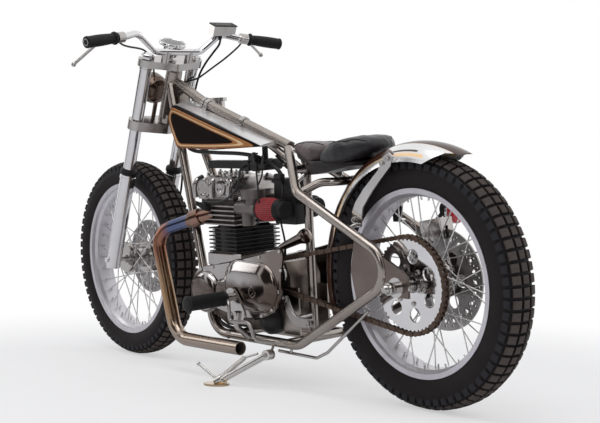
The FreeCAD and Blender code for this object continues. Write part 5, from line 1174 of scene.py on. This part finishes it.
def buildGearLever():
    forms = [swept(cornered(gearLook["lever"], gearLook["corner"]), gearLook["rod"], 16)]
    crank, low, high = gearLook["crank"], gearLook["inner"], gearLook["outer"]
    middle = smoothLine([(x, 0, z) for x, z, wide in crank], 8)
    widths = smoothLine([(wide, 0, 0) for x, z, wide in crank], 8)
    section = ((-1, low), (1, low), (1.06, low + 2), (1.06, high - 2), (0.94, high), (-0.94, high),
               (-1.06, high - 2), (-1.06, low + 2))
    rings = []
    for i, (spot, wide) in enumerate(zip(middle, widths)):
        along = alongLine(middle, i)
        across = Vector((-along.z, 0, along.x))
        rings.append([spot + across * (wide.x * a) + Vector((0, y, 0)) for a, y in section])
    forms.append(ringed(rings))
    thick = high - low
    for x, z, wide in (crank[0], crank[-1]):
        profile = [(0, wide), (thick + 1, wide), (thick + 2, wide - 1.5), (thick - 1, wide * 0.5), (thick - 4, 1)]
        forms.append(lathed(profile, (x, low, z), leftward, 32))
    start, along, radius, length = gearLook["shaft"]
    forms.append(lathed([(0, radius), (length, radius)], start, along, 16))
    makePiece("gear_lever", forms, "chassis", "castCrank", ["gear_linkage"], sharp=40)


def gaugeFace():
    # A dark dial with pale ticks and no lettering.
    graph = newGraph("gaugeFace")
    x, y = graph.along(steer, 0) - gaugeLook["centre"][0], graph.along(steer, 1)
    tick = 1 - abs((y.turnsFrom(x) * gaugeLook["ticks"]).fraction() - 0.5).step(0.08, 0.14)
    cloud = graph.noise(200, 3)
    colour = (tick * reach(x, y).band(*gaugeLook["tickBand"])).mix(
        cloud.mix((0.02, 0.02, 0.022), (0.035, 0.033, 0.033)), gaugeLook["tickColour"])
    return graph.surface(colour, 0.25 + cloud * 0.1, more={"Coat Weight": 0.4 + cloud * 0.1})


def buildGauge():
    radius, spot = gaugeLook["radius"], (*gaugeLook["centre"], gaugeLook["seat"])
    bezel = [(up, radius - inset) for up, inset in gaugeLook["bezel"]] + [(9, 1)]
    case = [lathed(bezel, spot, upward, 64), lathed(*gaugeLook["cup"])]
    makePiece("gauge_case", case, "steering", "chrome", ["gauge"])
    finish["gaugeFace"] = gaugeFace()
    face = lathed([(9.1, radius - 6.2), (9.4, radius - 6.4), (9.6, 1)], spot, upward, 64)
    makePiece("gauge_face", [face], "steering", "gaugeFace")


buildGearLever()
buildGauge()
print("gear lever and gauge built")

# Trim of the fork, wheels and tail. A fork ring is its height, profile and number of sides.
forkLook = {"x": 34, "sides": (88, -88), "sealHeight": 655,
            "seal": ((0, 25), (2, 27.5), (11, 28), (15, 26.5), (18, 22.5), (21, 21.4), (21, 20)),
            "rings": ((640, ((0, 25), (1, 27.2), (7, 27.2), (8, 25)), 40),
                      (1056, ((0, 20), (1, 22.4), (12, 22.4), (16, 19), (19, 12)), 6),
                      (1020, ((0, 20.3), (1, 21.6), (5, 21.6), (6, 20.3)), 32))}
nippleLook = {"count": 36, "radius": 234, "offset": 5.4, "splay": 0.12,
              "profile": ((-3, 4.2), (0, 4.2), (1, 3.1), (12, 2.7), (13, 2.2))}
tailLook = {"lensAt": (24, -149, 521), "lens": ((-10, 30), (-8, 34), (0, 34), (6, 29), (10, 18), (12.5, 8), (13, 1)),
            "bezelAt": (46, -149, 521), "bezel": ((0, 20), (4, 33), (6, 35), (12, 35), (14, 33)),
            "red": ((0.42, 0.006, 0.012), (0.62, 0.02, 0.03))}
cordLook = {
    "hose": ((-6, -150, 1150), (-2, -154, 1118), (8, -142, 1084), (8, -118, 1044), (4, -100, 1000), (2, -93, 916),
             (0, -91, 833), (-2, -92, 755), (-10, -93, 682), (-26, -90, 614), (-36, -80, 552), (-41, -66, 494)),
    "cable": ((-12, -236, 1136), (8, -240, 1108), (22, -208, 1064), (21, -162, 1030), (12, -122, 1008),
              (4, -96, 998), (10, -62, 986), (32, -44, 972), (64, -24, 948)), "hoseRadius": 3.5, "cableRadius": 3,
    "end": ((0, 5), (2, 6), (14, 6), (18, 4)), "endAt": (-6, -150, 1152),
    "lid": ((-15, -204, 1181), (19, -114, 1186)), "lidScrews": ((2, -194, 1185), (2, -124, 1185)),
    "lidScrew": ((0, 4), (1.6, 4), (2.2, 3)),
}
boltLook = {"clamps": ((930, 840), (758, 781.5)), "clampSlope": (-403, 0, -137),
            "clamp": ((-9, 16.2), (-8, 18.4), (8, 18.4), (9, 16.2)), "lug": ((-7, 12, -30), (7, 20, -4)),
            "lugBolt": ((0, 20, -18), 5, 4), "carrierBolt": (6, 4),
            "pairs": (((56, 79, 680), 7, 6), ((78, 79, 668), 7, 6), ((194, 80, 512), 8, 6), ((-47, 118, 344), 7, 5)),
            "collars": ((138, ((0, 15), (3, 17), (15, 17), (18, 13), (26, 12), (30, 8)), 32),
                        (83, ((0, 16), (1, 22), (13, 22), (15, 18), (18, 18), (19, 14)), 40)),
            "carrier": {"count": 6, "start": 12, "circle": 50, "face": 74}}


def buildFork():
    seals, rings = [], []
    for side in forkLook["sides"]:
        seals.append(lathed(forkLook["seal"], (forkLook["x"], side, forkLook["sealHeight"]), upward, 40))
        rings += [lathed(profile, (forkLook["x"], side, height), upward, segments)
                  for height, profile, segments in forkLook["rings"]]
    makePiece("fork_seals", seals, "steering", "blackRubber")
    makePiece("fork_rings", rings, "steering", "chrome")


def buildNipples():
    for name in ("rear", "front"):
        nipples = []
        for i in range(nippleLook["count"]):
            angle, side = tau * (i + 0.5) / nippleLook["count"], 1 if i % 2 else -1
            foot = polar(nippleLook["radius"], angle, side * nippleLook["offset"])
            inward = (-cos(angle), side * nippleLook["splay"], -sin(angle))
            nipples.append(lathed(nippleLook["profile"], foot, inward, 10))
        makePiece(name + "_nipples", nipples, name + "_wheel", "spokeSteel")


def buildTail():
    graph = newGraph("redLens")
    ribs, cloud = graph.noise(500, 2), graph.noise(60, 2)
    finish["redLens"] = graph.surface(cloud.mix(*tailLook["red"]), 0.16 + ribs * 0.08, 0.0, (ribs, 0.15),
                                      {"Coat Weight": 0.6 + cloud * 0.2})
    makePiece("tail_lens", [lathed(tailLook["lens"], tailLook["lensAt"], rearward, 48)], "chassis", "redLens")
    makePiece("tail_bezel", [lathed(tailLook["bezel"], tailLook["bezelAt"], rearward, 48)], "chassis", "chrome")


def buildCords():
    hose = swept(smoothLine(cordLook["hose"], 8), cordLook["hoseRadius"], 12)
    cable = swept(smoothLine(cordLook["cable"], 8), cordLook["cableRadius"], 12)
    end = lathed(cordLook["end"], cordLook["endAt"], (0, 0, -1), 12)
    makePiece("front_hose", [hose, end], "steering", "blackRubber", ["brake_hose"])
    makePiece("right_cable", [cable], "steering", "blackRubber", ["throttle_cable"])
    lid = [box(*cordLook["lid"], 1.5)]
    lid += [lathed(cordLook["lidScrew"], spot, upward, 16) for spot in cordLook["lidScrews"]]
    makePiece("reservoir_lid", lid, "steering", "blackPlastic")


def buildBolts():
    bolts = []
    for x, z in boltLook["clamps"]:
        middle = Vector((x, 0, z))
        bolts.append(lathed(boltLook["clamp"], middle, boltLook["clampSlope"], 40))
        bolts.append(box(*(middle + Vector(corner) for corner in boltLook["lug"]), 1.5))
        spot, radius, height = boltLook["lugBolt"]
        bolts += bolt(middle + Vector(spot), leftward, radius, height)
    for side in (1, -1):
        for (x, y, z), radius, height in boltLook["pairs"]:
            bolts += bolt((x, side * y, z), (0, side, 0), radius, height)
        for y, profile, segments in boltLook["collars"]:
            bolts.append(lathed(profile, (0, side * y, machine["rearRadius"]), (0, side, 0), segments))
    ring, carrier = boltLook["carrier"], []
    for i in range(ring["count"]):
        angle = radians(ring["start"] + i * 360 / ring["count"])
        carrier += bolt(polar(ring["circle"], angle, ring["face"]), leftward, *boltLook["carrierBolt"])
    makePiece("sprocket_bolts", carrier, "rear_wheel", "polishedSteel")
    makePiece("frame_bolts", bolts, "chassis", "polishedSteel")


buildFork()
buildNipples()
buildTail()
buildCords()
buildBolts()
print("trim built")
